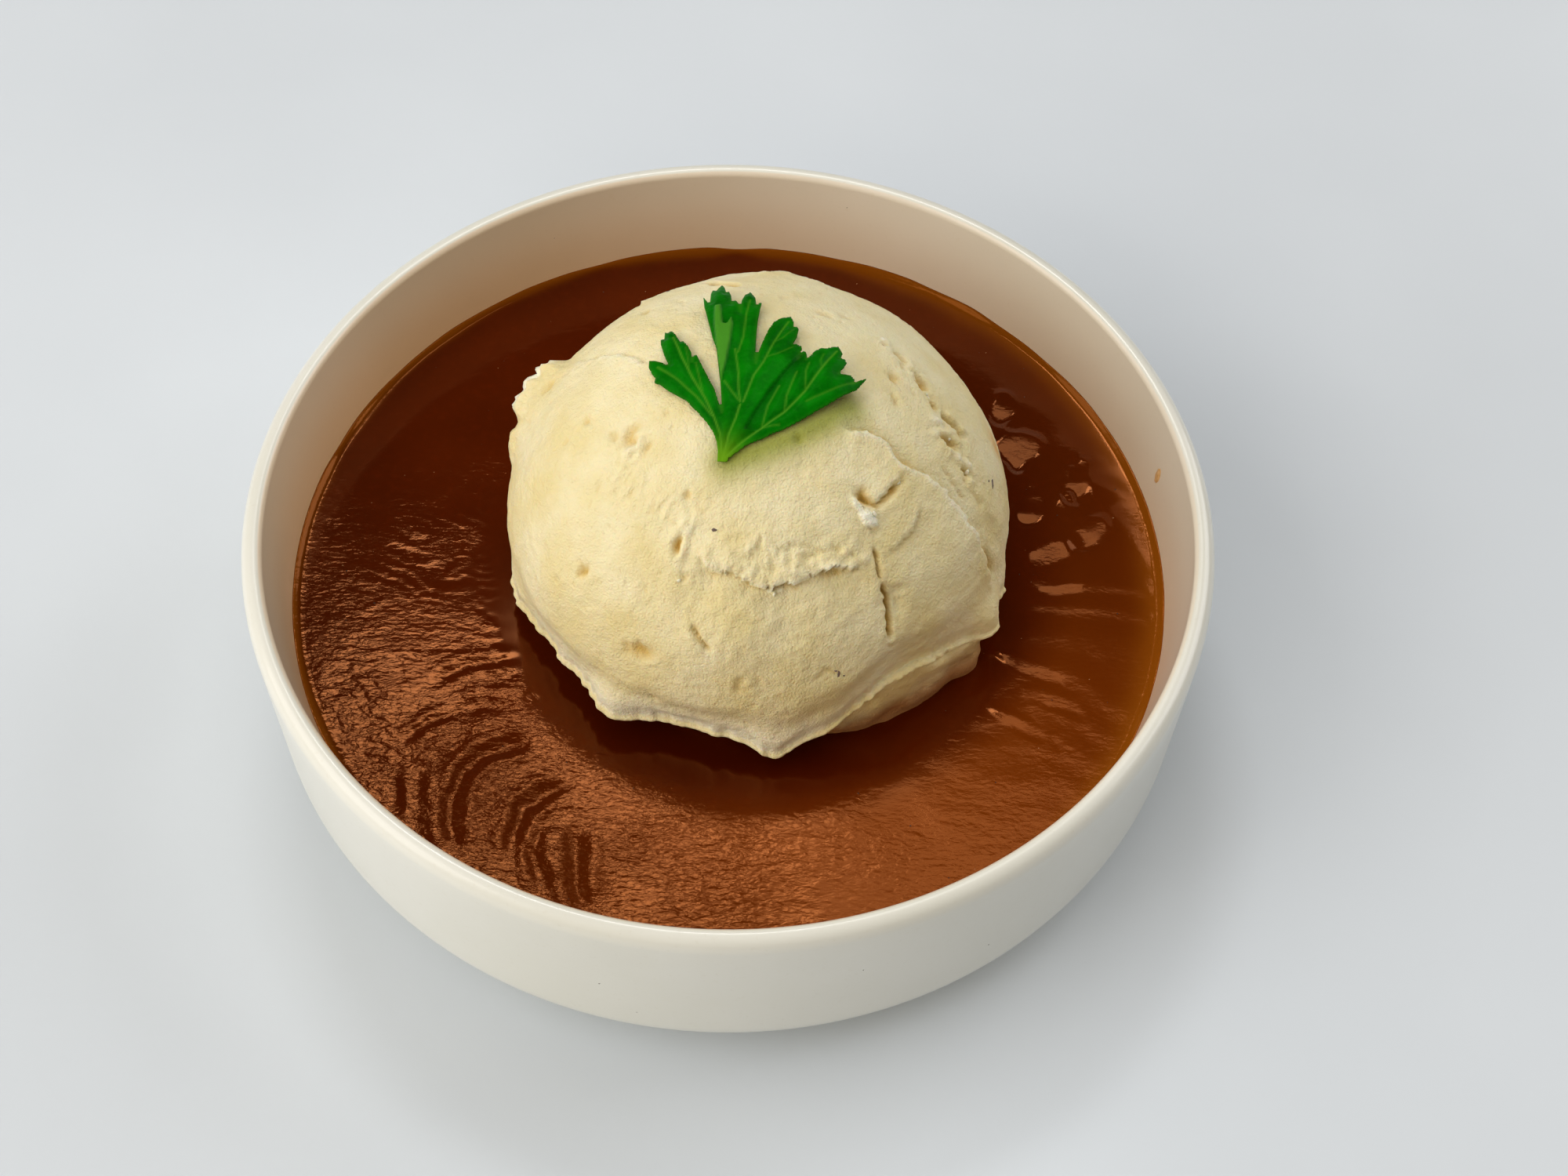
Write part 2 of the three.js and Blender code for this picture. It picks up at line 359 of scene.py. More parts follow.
def trace(points, path):
    """How far points on the ball are from a path over it: the distance, the same with a sign (left of the
    path is positive), and how far along the path the nearest point lies, with the path's length."""
    corners = [on_ball(*corner) for corner in path]
    nearest = np.full(len(points), np.inf)
    signed = np.zeros(len(points))
    along = np.zeros(len(points))
    start = 0.0
    for a, b in zip(corners, corners[1:]):
        run = b - a
        length = np.linalg.norm(run)
        t = np.clip((points - a) @ run / length ** 2, 0, 1)
        foot = a + t[:, None] * run
        foot *= BALL_R / np.linalg.norm(foot, axis=1)[:, None]
        away = points - foot
        distance = np.linalg.norm(away, axis=1)
        side = np.sign((np.cross(points, run) * away).sum(1))
        closer = distance < nearest
        nearest = np.where(closer, distance, nearest)
        signed = np.where(closer, side * distance, signed)
        along = np.where(closer, start + t * length, along)
        start += length
    return nearest, signed, along, start


# Every mark is smaller than this, in mm, so nothing further off belongs to it.
SPOT_REACH = 14.0


def from_spot(points, bearing, elevation, lean):
    """How far points on the ball lie from a spot on it along a line that leans so many degrees to the
    right of straight up, and across that line. Points on the ball's far side are far in both."""
    centre = on_ball(bearing, elevation)
    up = on_ball(bearing, elevation + 90) / BALL_R
    right = np.cross(up, centre) / BALL_R
    away = points - centre
    t = math.radians(lean)
    run = away @ (math.cos(t) * up + math.sin(t) * right)
    cross = away @ (math.cos(t) * right - math.sin(t) * up)
    far = np.linalg.norm(away, axis=1) > SPOT_REACH
    return np.where(far, 99, run), np.where(far, 99, cross)


# Layer edges: (path, height of the upper side, its fall, recess of the lower side, its fall, sharpness,
# raggedness), all lengths in mm. The upper side is on the left of the path.
LAYER_EDGES = [
    ([(251, 46.6), (258, 44.7), (264, 44), (269, 43.2), (275, 41.6), (281, 42.6), (290, 43.2), (297, 42.4),
      (304, 41.3)], 0.75, 3.4, 0.90, 3.6, 0.12, 1.4),
    ([(265, 48.8), (268, 48), (272, 51.8), (277, 49), (283, 51.4), (288, 50), (292, 48.6), (300, 46.6)],
     0.32, 2.2, 0.25, 1.6, 0.25, 1.2),
    ([(336.6, 12), (336.8, 16), (337, 20), (337, 25), (337.5, 34), (336.5, 43.7), (335.5, 48), (332, 53.5),
      (332.6, 56.7), (334, 59.4), (331, 64), (323, 69)], 0.75, 2.6, 0.85, 2.6, 0.24, 1.1),
    ([(308.5, 42.1), (312.2, 42), (318, 42.6), (324, 43.6), (329, 45)], 0.40, 2.4, 0.45, 3.2, 0.40, 1.0),
    ([(173, 66), (165, 60), (160, 49), (158, 37)], 0.45, 5.0, 0.4, 3.0, 0.2, 0.9),
    ([(262, 25.8), (260, 27.4), (256.5, 30.2), (253.5, 34)], 0.38, 3.0, 0.55, 1.5, 0.16, 0.8),
    ([(304, 34.8), (307, 35.2), (311, 33.6), (314, 33)], 0.28, 1.5, 0.40, 2.2, 0.26, 1.1),
    ([(238, 12.2), (241, 10), (246, 8)], 0.25, 1.6, 0.2, 0.8, 0.15, 0.8),
    ([(252, 40.2), (249, 42.4), (249.5, 47), (249, 52), (251, 56)], 0.20, 3.0, 0.10, 2.0, 0.3, 0.6),
    ([(311, 55.2), (313, 52.6), (320, 52.4), (325, 52.6), (331, 53.2)], 0.40, 2.0, 0.15, 2.0, 0.2, 0.5),
    ([(60, 52), (70, 47), (84, 44), (97, 46)], 0.5, 3.0, 0.4, 2.0, 0.2, 0.9),
    ([(118, 26), (126, 33), (130, 43)], 0.45, 3.0, 0.35, 2.0, 0.25, 0.7),
    ([(40, 22), (52, 27), (64, 26), (75, 29)], 0.4, 3.0, 0.4, 2.0, 0.2, 0.8),
]

# Cracks and grooves: (path, depth, half-width, raggedness), in mm.
CRACKS = [
    ([(248.4, 57.8), (248, 55.2)], 0.6, 0.40, 0.5),
    ([(247.8, 54.4), (246.8, 50.4)], 0.25, 0.3, 0.5),
    ([(247.0, 50.4), (246.2, 47.8), (247.3, 44.6)], 1.1, 0.42, 0.5),
    ([(243, 46.4), (246, 47.4)], 0.5, 0.32, 0.4),
    ([(307.5, 45.4), (306, 40.3), (305.4, 36.4)], 0.75, 0.30, 0.5),
    ([(305.4, 36.8), (305.4, 33), (304.3, 27.4), (302.8, 23)], 1.2, 0.40, 0.6),
    ([(301.5, 22.6), (305.6, 20.9)], 0.35, 0.35, 0.5),
    ([(310.6, 55.4), (312, 53.4), (314, 51.6), (320, 51.8), (325, 52)], 0.85, 0.45, 0.3),
    ([(320, 51.8), (325, 52), (330, 52.6)], 0.45, 0.4, 0.3),
    ([(254.5, 32.6), (257.5, 29.2), (261.5, 26.4)], 0.4, 0.45, 0.4),
    ([(27, 57.8), (22, 56.4), (17.8, 54.8)], 0.8, 0.5, 0.8),
    ([(17, 54.4), (12, 52.8), (7.4, 51.4)], 1.2, 0.65, 1.0),
    ([(7, 51.2), (4, 50.2), (1.5, 49.1)], 0.9, 0.45, 0.9),
    ([(2.2, 48), (0.4, 44.6), (359.4, 40.4)], 1.6, 0.55, 0.9),
    ([(353.4, 48.6), (352.6, 45.3), (354.2, 41.4)], 1.3, 0.5, 0.9),
    ([(350.6, 40), (348, 36)], 0.9, 0.5, 0.8),
    ([(3, 62.4), (358, 60.4), (354, 59)], 0.45, 0.4, 0.8),
    ([(347, 40), (346, 35), (345, 29)], 0.3, 0.5, 0.5),
    ([(344, 46), (343, 40), (342, 35)], 0.35, 0.35, 1.0),
    ([(295, 73), (297.5, 69.5)], 0.7, 0.6, 0.2),
    ([(268.5, 22.5), (267, 18.4), (268, 15.6)], 0.35, 0.45, 0.3),
    ([(271, 22.5), (272.6, 18.6)], 0.25, 0.3, 0.2),
    ([(249.2, 42.4), (250.6, 41.6), (251, 39.8)], 0.5, 0.36, 0.3),
    ([(283.5, 19.2), (287.5, 21.5), (289, 20.4), (291, 20.2)], 0.35, 0.3, 0.3),
    ([(213, 45), (216, 41)], 0.25, 0.3, 0.3),
    ([(337, 20), (340, 14)], 0.35, 0.8, 0.4),
    ([(100, 58), (108, 52), (110, 45)], 0.9, 0.5, 0.5),
    ([(45, 40), (50, 33), (49, 27)], 0.7, 0.5, 0.6),
    ([(140, 18), (147, 22)], 0.5, 0.5, 0.5),
]

# Pits and dents: (bearing, elevation, half-length, half-width, lean in degrees, depth), in mm.
# A lean of 0 runs up the ball, and 90 runs round it.
PITS = [
    (224, 31, 1.15, 0.6, 18, 0.8), (206, 58.4, 1.9, 0.9, -40, 0.6), (201, 55.6, 1.0, 0.7, 60, 0.4),
    (217, 60.5, 1.3, 0.5, -10, 0.45), (189, 50.2, 0.9, 0.6, 70, 0.45), (190, 43.6, 0.6, 0.4, 10, 0.3),
    (223.5, 52, 1.2, 0.3, -25, 0.35), (213, 47, 1.0, 0.35, -30, 0.2), (233.5, 52, 0.5, 0.45, 0, 0.4),
    (234, 51, 0.8, 0.25, 60, 0.3), (243, 57.6, 0.8, 0.55, -20, 0.45), (163, 32, 1.2, 0.8, -20, 0.5),
    (311.2, 55.0, 1.2, 0.8, 40, 0.9),
    (357, 49.5, 1.0, 0.6, 20, -0.5), (351, 42, 0.8, 0.6, 0, -0.6), (351.5, 37.8, 0.7, 0.5, 0, -0.5),
    (169, 15.5, 3.2, 2.6, 0, -1.1), (9, 61, 1.0, 0.5, 60, 0.6), (355.5, 60.7, 0.8, 0.4, 60, 0.3),
    (28, 59.6, 0.45, 0.45, 0, 0.5), (11, 60, 0.9, 0.45, 50, 0.45),
    (17, 57, 0.8, 0.5, 60, 0.35), (5, 56, 0.8, 0.35, 60, 0.25), (243.5, 21.4, 2.2, 1.1, 60, 0.75),
    (276, 35, 3.5, 3.0, 0, 0.35), (306.5, 31, 2.6, 1.5, 0, 0.85), (248, 8.6, 0.6, 0.45, 0, 0.4),
    (257, 37, 3.0, 2.0, 0, 0.15), (217, 22, 5, 3, 20, -0.3), (266, 33, 5, 4, 0, -0.25),
    (330, 33, 6, 4, 0, -0.35), (345, 22, 3.5, 1.6, 0, 0.5), (338, 20, 1.6, 1.0, 0, 0.5),
    (50, 62, 1.2, 0.5, 70, 0.3), (58, 66, 1.5, 0.6, 80, 0.3), (90, 35, 9, 9, 0, -0.8),
    (80, 30, 1.2, 0.7, 30, 0.6), (135, 50, 1.0, 0.6, 40, 0.5), (150, 12, 1.4, 0.8, 80, 0.5),
    (25, 30, 1.0, 0.6, 20, 0.4),
]

# White flakes that stand off the ball: (bearing, elevation, half-length, half-width, lean, thickness).
FLAKES = [
    (308.8, 50.4, 1.25, 1.10, 0, 0.60), (307.7, 53.6, 1.60, 0.65, 10, 0.50),
    (310.6, 48.9, 0.6, 0.6, 0, 0.45), (274.6, 41.3, 0.40, 0.95, 10, 0.45),
    (277.6, 41.0, 0.30, 0.70, -20, 0.40), (271.4, 42.3, 0.25, 0.6, 0, 0.3),
    (30.4, 59.0, 0.5, 0.35, 0, 0.3),
]

# Places where the mash is torn and mealy: (path, half-width, roughness), in mm.
TORN = [
    ([(258, 45.6), (268, 46.6), (280, 47), (292, 46), (301, 44.4)], 2.3, 0.42),
    ([(28, 59), (17, 55), (7, 51.6), (2.5, 48.5), (0, 44.6), (359, 40)], 1.6, 0.55),
    ([(353, 48.6), (352, 45), (352, 41), (348, 36)], 1.5, 0.50),
    ([(208, 59), (214, 55), (221, 52)], 3.0, 0.40), ([(190, 50), (196, 46)], 2.5, 0.25),
    ([(233.5, 52), (243, 57), (248, 50), (247, 45)], 1.2, 0.35),
    ([(309, 47.5), (309, 53)], 1.2, 0.35), ([(262, 30), (275, 33), (288, 31)], 4.0, 0.12),
]

# The curled-up edge at the left: its crest over the ball, and how far it stands off.
EAR = [(165.5, 19.4), (161, 22.3), (158, 24.4), (154, 26.6), (150, 28.6)]
EAR_HEIGHT = 2.9


def scoop_relief(points):
    """How far each point of the ball stands off its round shape, and its tone: above 0 is whiter, where the
    mash is crumbled and, as a painted highlight, along the crests of raised edges; below 0 is painted
    shade, a deeper gold down cracks, pits and the recesses under edges."""
    wobble = np.stack(
        [lumps(points, 1.9, s) * 0.45 + lumps(points, 0.75, s + 3) * 0.3 for s in (1, 2, 3)], 1)
    relief = 0.24 * lumps(points, 10, 4) + 0.13 * lumps(points, 4, 5) + 0.07 * rough(points, 1.3, 3, 6)
    tone = np.zeros(len(points))
    for path, height, fall, recess, low_fall, sharp, ragged in LAYER_EDGES:
        _, signed, along, length = trace(points + ragged * wobble, path)
        hold = smooth(0, 3.0, along) * smooth(0, 3.0, length - along)
        hold *= 0.75 + 0.4 * lumps(points, 2.6, 14)
        upper = smooth(-sharp, sharp, signed)
        high = height * upper * np.exp(-np.maximum(signed, 0) / fall)
        low = recess * (1 - upper) * np.exp(-np.maximum(-signed, 0) / low_fall)
        relief += hold * (high - low)
        # Painted highlight along the crest of the upper side, and painted shade in the recess below it.
        tone += hold * 0.9 * height * bell((signed - 0.35) / 0.5)
        tone -= hold * 0.9 * recess * bell((signed + 0.35) / 0.5)
    for path, depth, width, ragged in CRACKS:
        near, _, along, length = trace(points + ragged * wobble, path)
        hold = smooth(0, 1.4, along) * smooth(0, 1.4, length - along)
        relief -= hold * depth * bell(near / width)
        relief += hold * 0.10 * depth * bell((near - 2.2 * width) / width)
        # Painted shade down the crack.
        tone -= hold * 1.2 * min(depth, 1) * bell(near / width)
    for at_bearing, at_elevation, long_half, short_half, lean, depth in PITS:
        run, cross = from_spot(points + 1.5 * min(short_half, 1) * wobble, at_bearing, at_elevation, lean)
        inside = np.hypot(run / long_half, cross / short_half)
        relief -= depth * bell(inside ** 1.3)
        # Narrow pits get painted shade.
        if short_half < 1.4:
            tone -= 1.3 * depth * bell(inside)
    for at_bearing, at_elevation, long_half, short_half, lean, thick in FLAKES:
        run, cross = from_spot(points + 0.75 * wobble, at_bearing, at_elevation, lean)
        plate = 1 - smooth(0.75, 1.05, np.hypot(run / long_half, cross / short_half))
        relief += thick * plate * (1 + 0.3 * lumps(points, 0.8, 24))
        tone += 0.9 * plate
    _, signed, along, length = trace(points + 0.7 * wobble, EAR)
    hold = smooth(-0.6, 0.9, along) * smooth(0, 3.2, length - along)
    rise = np.where(signed > 0, bell(signed / 0.9), bell(signed / 4.2))
    frayed = 1 + 0.25 * lumps(points, 1.7, 9) + 0.26 * lumps(points, 0.75, 10)
    relief += EAR_HEIGHT * hold * rise * frayed
    tone += 0.8 * hold * bell(signed / 1.3)
    grain = rough(points, 1.0, 3, 11)
    for path, width, amount in TORN:
        near = trace(points + 0.8 * wobble, path)[0]
        relief += amount * bell(near / width) * grain
        tone += amount * bell(near / width) * (0.15 + 0.6 * grain)
    small = np.maximum(lumps(points, 0.9, 15) - 0.55, 0) * smooth(0.1, 0.5, lumps(points, 7, 16) + 0.25)
    relief -= 0.55 * small
    # Painted shade in the small pits.
    tone -= 0.8 * small
    return relief, tone


def make_scoop():
    """A ball with its skirt, its body down to the bowl's floor, and everything torn and pressed into it."""
    bpy.ops.mesh.primitive_uv_sphere_add(
        segments=SCOOP_STEPS // 4, ring_count=SCOOP_RINGS // 4, radius=BALL_R * MM,
        location=tuple(BALL * MM))
    obj = settle(bpy.context.object, "potato_scoop")
    refine(obj, 2)
    start = places(obj) - BALL
    bearing = np.degrees(np.arctan2(start[:, 1], start[:, 0])) % 360
    tilt = np.degrees(np.arccos(start[:, 2] / np.linalg.norm(start, axis=1)))
    ring = np.round(tilt * SCOOP_RINGS / 180)
    skirt_z = skirt_height(bearing)
    skirt_r = skirt_radius(bearing)
    body_r = body_radius(bearing)
    lowest = np.degrees(np.arcsin((skirt_z + 0.9 * LIP + 0.2 - BALL[2]) / BALL_R))
    share = np.clip(ring / BALL_RINGS, 0, 1)
    elevation = 90 - (90 - lowest) * share
    b, e = np.radians(bearing), np.radians(elevation)
    way = np.stack([np.cos(b) * np.cos(e), np.sin(b) * np.cos(e), np.sin(e)], 1)
    relief, tone = scoop_relief(way * BALL_R)
    above_lip = elevation - lowest
    to_skirt = 1 - smooth(0, 13, above_lip)
    trough = (0.3 + 0.5 * facing(bearing, LEDGE, 50)) * bell((above_lip - 8.0) / 4.4)
    flat = np.stack([np.cos(b), np.sin(b)], 1)
    seam = np.column_stack([flat * 36, skirt_z])
    nibble = 0.35 * rough(seam, 2.2, 2, 12) + 0.34 * lumps(seam, 0.8, 19) + 0.4 * lumps(seam, 6, 18) - 0.5
    radius = BALL_R + relief - (BALL_R - skirt_r + 0.45) * to_skirt - trough
    radius += np.minimum(nibble, 0.1) * (1 - smooth(0, 5, above_lip))
    ball = way * radius[:, None]

    # Below the ball: round the lip of the skirt, under it, and down the body to the floor.
    u = np.clip((ring - BALL_RINGS) / (SCOOP_RINGS - BALL_RINGS - 1), 0, 1)
    nibble *= 1 - smooth(0.45, 0.6, u)
    turn = np.radians(75 - 165 * np.clip(u / LIP_SHARE, 0, 1))
    lip_rho = skirt_r - LIP + LIP * np.cos(turn) + np.minimum(nibble, 0.1)
    lip_z = skirt_z + 0.9 * LIP * np.sin(turn) + 0.5 * nibble
    under = smooth(LIP_SHARE, 0.55, u)
    down = np.clip((u - 0.5) / 0.4, 0, 1)
    lumpy = 0.45 * rough(np.column_stack([flat * 34, 22 + 12 * down]), 3.2, 3, 13)
    body_rho = body_r + lumpy * (1 - 0.7 * smooth(0.6, 1, down))
    body_z = (skirt_z - 1.7) * (1 - down) + (LEVEL - 2.0) * down - BALL[2]
    foot = smooth(0.9, 1.0, u)
    rho = (lip_rho * (1 - under) + body_rho * under) * (1 - foot) + BODY_FOOT_R * foot
    z = ((lip_z - BALL[2]) * (1 - under) + body_z * under) * (1 - foot) + (REST_Z - BALL[2]) * foot
    lower = np.column_stack([flat * rho[:, None], z])
    points = np.where((ring <= BALL_RINGS)[:, None], ball, lower)
    points[ring >= SCOOP_RINGS] = (0, 0, REST_Z - BALL[2])
    # Painted light and shade: the ledge at the lower left is painted whiter, and the lip and the body under
    # the skirt are painted darker and deeper in colour.
    tone += 0.7 * bell((above_lip - 1.5) / 4.5) * facing(bearing, LEDGE, 50)
    tone = np.where(ring <= BALL_RINGS, tone, -0.1 * (1 - under) - 0.45 * under)

    # A golden stain at the right, where some crust was pressed in.
    off_stain = (points - on_ball(10, 23)) / (1.8, 1.6, 3.2)
    mark(obj, "golden", bell(np.linalg.norm(off_stain, axis=1) + 0.4 * lumps(points, 1.5, 20)))

    # A painted green shadow of the leaf on the mash below its lower right edge, standing in for light that
    # comes through the leaf.
    below_leaf = np.array([(1.0, 0.8), (4.5, 1.8), (8.6, 3.8), (12.6, 6.6), (16.0, 9.6)])
    off_leaf, _ = distance_to(points[:, :2] + BALL[:2] - STEM, below_leaf)
    mark(obj, "green", bell(off_leaf / 2.8) * (points[:, 2] > 0))
    move_to(obj, points + BALL)
    mark(obj, "tone", tone)
    above = points[:, 2] + BALL[2] - LEVEL
    reach = 3.6 + 3.6 * facing(bearing, 318, 26)
    soaked = 1 - smooth(0.2, 1, (above + 0.9 * rough(points, 3.0, 3, 17)) / reach)
    mark(obj, "soaked", soaked * under * (ring > BALL_RINGS))
    return obj


# ---------------------------------------------------------------- crumbs, flakes and specks

def scoop_point(scoop, bearing, elevation):
    """The place and the outward direction of the scoop's surface at a bearing and an elevation."""
    way = Vector(on_ball(bearing, elevation) / BALL_R)
    start = Vector(BALL * MM) + way * 60 * MM
    _, place, normal, _ = scoop.ray_cast(start, -way)
    return place, normal


def scatter(spots, name, detail=2, large=0.5):
    """One piece of many grains. Each spot is (place, normal, half-length, half-width, half-thickness,
    turn), with lengths in mm and the turn in degrees about the normal."""
    grains = []
    for number, (place, normal, length, width, thickness, turn) in enumerate(spots):
        fine = detail + (length > large)
        bpy.ops.mesh.primitive_ico_sphere_add(subdivisions=fine, radius=MM, location=(0, 0, 0))
        grain = bpy.context.object
        points = places(grain)
        points *= 1 + 0.40 * lumps(points + 7.1 * number, 0.8, 21)[:, None]
        points *= 1 + 0.22 * lumps(points - 5.3 * number, 0.35, 22)[:, None]
        points *= (length, width, thickness)
        upright = Vector(normal).to_track_quat("Z", "Y").to_matrix()
        spin = upright @ Matrix.Rotation(math.radians(turn), 3, "Z")
        points = points @ np.array(spin).T + np.array(place) / MM
        move_to(grain, points)
        grains.append(grain)
    if len(grains) > 1:
        pick(grains[0])
        for grain in grains:
            grain.select_set(True)
        bpy.ops.object.join()
    return settle(grains[0], name)


def make_flakes(scoop):
    """White flakes and crumbs of potato, by the hollow and along the torn edges."""
    spots = []

    def put(bearing, elevation, length, width, thickness, turn, lift=0.0):
        place, normal = scoop_point(scoop, bearing, elevation)
        spots.append((place + normal * lift * MM, normal, length, width, thickness, turn))

    for crumb in [
            (310.9, 50.6, 0.42, 0.26, 0.2, 60, 0.2), (275.8, 40.6, 0.40, 0.22, 0.2, 85, 0.2),
            (349.6, 37.6, 0.45, 0.3, 0.25, 30, 0.1), (326.0, 52.0, 0.3, 0.2, 0.15, 30, 0.05),
            (249.6, 40.6, 0.3, 0.2, 0.15, 30, 0.05)]:
        put(*crumb)
    for share in rng.uniform(0, 1, 3):
        bearing = np.interp(share, (0, 0.4, 0.75, 1), (13, 3, 357, 353))
        elevation = np.interp(share, (0, 0.4, 0.75, 1), (54, 49.5, 43.6, 41))
        put(bearing + rng.normal(0, 0.9), elevation + rng.normal(0, 1.0),
            *rng.uniform(0.15, 0.35, 2), 0.14, rng.uniform(0, 360))
    return scatter(spots, "potato_flakes")


def make_potato_specks(scoop):
    """Bits of skin and pepper in the mash."""
    spots = []
    for bearing, elevation, length, width, turn in [
            (256.2, 52.7, 0.36, 0.24, 20), (290, 20, 0.55, 0.22, 70), (289.3, 20.9, 0.22, 0.16, 0),
            (355, 27.4, 0.62, 0.3, 20), (28, 59.6, 0.4, 0.24, 0), (354, 29.5, 0.2, 0.14, 0),
            (291, 19.2, 0.16, 0.12, 0), (120, 40, 0.4, 0.3, 0), (80, 20, 0.3, 0.3, 0)]:
        place, normal = scoop_point(scoop, bearing, elevation)
        spots.append((place - normal * 0.05 * MM, normal, length, width, 0.16, turn))
    return scatter(spots, "potato_specks")


# ---------------------------------------------------------------- the gravy

def ridge(phase):
    """A ridge with one steep side and one gentle side, from -1 to 1, for a phase in turns."""
    return np.sin(2 * math.pi * phase + 0.6 * np.sin(2 * math.pi * phase))


# The strokes that a spoon left at the front left: (path, depth, half-width), in mm round the bowl's middle.
# A depth below 0 is a ridge.
GRAVY_STROKES = [
    ([(-26, -30), (-29, -31), (-32.5, -32.5), (-35, -35.5), (-36, -39.5), (-36, -43),
      (-35, -47)], 0.28, 1.1),
    ([(-39.5, -35.5), (-40, -41.5)], -0.13, 0.9),
    ([(-42.5, -35.5), (-42, -42.5)], -0.13, 0.9),
    ([(-20.5, -36.5), (-24, -38.5), (-26.5, -41), (-27, -44.5), (-27, -48.5)], 0.24, 1.1),
    ([(-24, -42.5), (-24.5, -46.5), (-23.5, -50), (-22.5, -53)], 0.17, 0.9),
    ([(-19, -42.5), (-19, -46), (-18, -52), (-16.5, -55.5)], 0.26, 1.1),
    ([(-17, -41.5), (-17.5, -46), (-16, -50)], 0.08, 0.8),
    ([(-37, -26.5), (-33, -24.5), (-29.5, -25)], 0.16, 1.4),
    ([(-34, -21.5), (-30, -20)], 0.14, 1.2),
    ([(-41, -21.5), (-36.5, -18), (-30, -17)], 0.10, 0.8),
    ([(-44, -31), (-41, -28), (-36.5, -26)], 0.10, 0.7),
    ([(-8, -49), (-7, -51.5), (-6, -54.5)], -0.06, 0.8),
    ([(-1.5, -50.5), (-0.5, -52), (0.5, -54.5)], 0.05, 0.7),
]

# Ripples at the right, that each slope down to the front: (place, half-length, half-width, turn in degrees,
# slope), in mm round the bowl's middle.
RIPPLES = [
    ((42.8, 24.5), 3.8, 2.7, 75, 0.085), ((44.2, 12.7), 3.8, 2.4, 65, 0.085),
    ((51.8, 18.4), 3.4, 2.1, 65, 0.085), ((46.6, 4.9), 4.2, 2.1, 35, 0.085),
    ((52.9, 8.8), 4.0, 2.3, 30, 0.085), ((48.5, -1.5), 4.2, 1.3, 20, 0.075),
    ((40.5, 32.4), 2.8, 1.7, 60, 0.090), ((49.0, 13.0), 2.6, 1.5, 70, 0.080),
    ((43.5, -15.5), 4.5, 1.3, -30, 0.045), ((46.5, -20.5), 5.0, 1.4, -28, 0.045),
    ((42.0, -25.0), 4.5, 1.3, -35, 0.040),
]


def gravy_height(flat):
    """How far the gravy's surface stands off its level, in mm, at flat places round the bowl's middle."""
    x, y = flat[:, 0], flat[:, 1]
    radius = np.hypot(x, y)
    bearing = np.degrees(np.arctan2(y, x)) % 360
    from_potato = np.hypot(x - BALL[0], y - BALL[1]) - BODY_R
    spot = np.column_stack([flat, 0 * x])
    rim = 1 - smooth(60, 62.5, radius)

    # Left by a spoon: curved strokes at the front left.
    height = 0 * radius
    stray = flat + np.stack([lumps(spot, 2.6, 31), lumps(spot, 2.6, 32)], 1) * 0.4
    for path, depth, width in GRAVY_STROKES:
        near, foot = distance_to(stray, np.array(path))
        ends = [np.linalg.norm(foot - np.array(end), axis=1) for end in (path[0], path[-1])]
        hold = smooth(-1.0, 3.0, ends[0]) * smooth(-1.0, 3.0, ends[1])
        height -= depth * hold * bell(near / width)
        height += 0.6 * depth * hold * bell((near - 1.9 * width) / width)
    height *= rim

    # Fine wrinkles at the left, across the gravy, each a little lower at its right end.
    phase = (y + 0.16 * x + 3.0 * lumps(spot, 6, 33) + 0.8 * lumps(spot, 2.2, 34)) / 2.2
    at_left = smooth(158, 178, bearing) * (1 - smooth(222, 240, bearing))
    where = at_left * smooth(3.5, 8.5, from_potato) * rim
    where *= smooth(-0.2, 0.5, lumps(spot, 5, 35))
    height += 0.020 * where * ridge(phase)
    height += 0.045 * where * lumps(np.column_stack([0.6 * x, y, 0 * x]), 4, 43)

    # Slow waves at the right, and ripples there that each slope down to the front.
    where = facing(bearing, 10, 34) * smooth(3, 8, from_potato) * rim
    height += 0.05 * where * np.sin((y + 0.25 * x + 5 * lumps(spot, 11, 36)) * 0.9)
    for (at_x, at_y), long_half, short_half, turn, slope in RIPPLES:
        t = math.radians(turn)
        off_x, off_y = stray[:, 0] - at_x, stray[:, 1] - at_y
        run = off_x * math.cos(t) + off_y * math.sin(t)
        cross = off_y * math.cos(t) - off_x * math.sin(t)
        inside = np.hypot(run / long_half, cross / short_half) + 0.5 * lumps(spot, 2.4, 51)
        slope *= 1 + 0.5 * lumps(spot, 3.2, 52)
        height += slope * off_y * (1 - smooth(0.75, 1.35, inside))

    # Soft streaks at the front and the front right, running towards the rim.
    out = np.column_stack([0.8 * bearing, 0.3 * radius, 0 * x])
    streaks = 0.018 * facing(bearing, 310, 38) * lumps(out, 3.2, 47)
    height += streaks * smooth(6, 10, from_potato) * rim

    # A slight unevenness all over, calm and lower near the potato.
    calm = smooth(3, 13, from_potato)
    moat = 0.45 * (0.15 + 0.85 * facing(bearing, 256, 55))
    height -= moat * (1 - smooth(0, 11, from_potato))
    height += 0.09 * lumps(spot, 15, 38) * calm
    height += 0.012 * rough(spot, 3.5, 2, 39) * (0.2 + 0.8 * calm)
    return height * (1 - smooth(61.0, 62.6, radius))


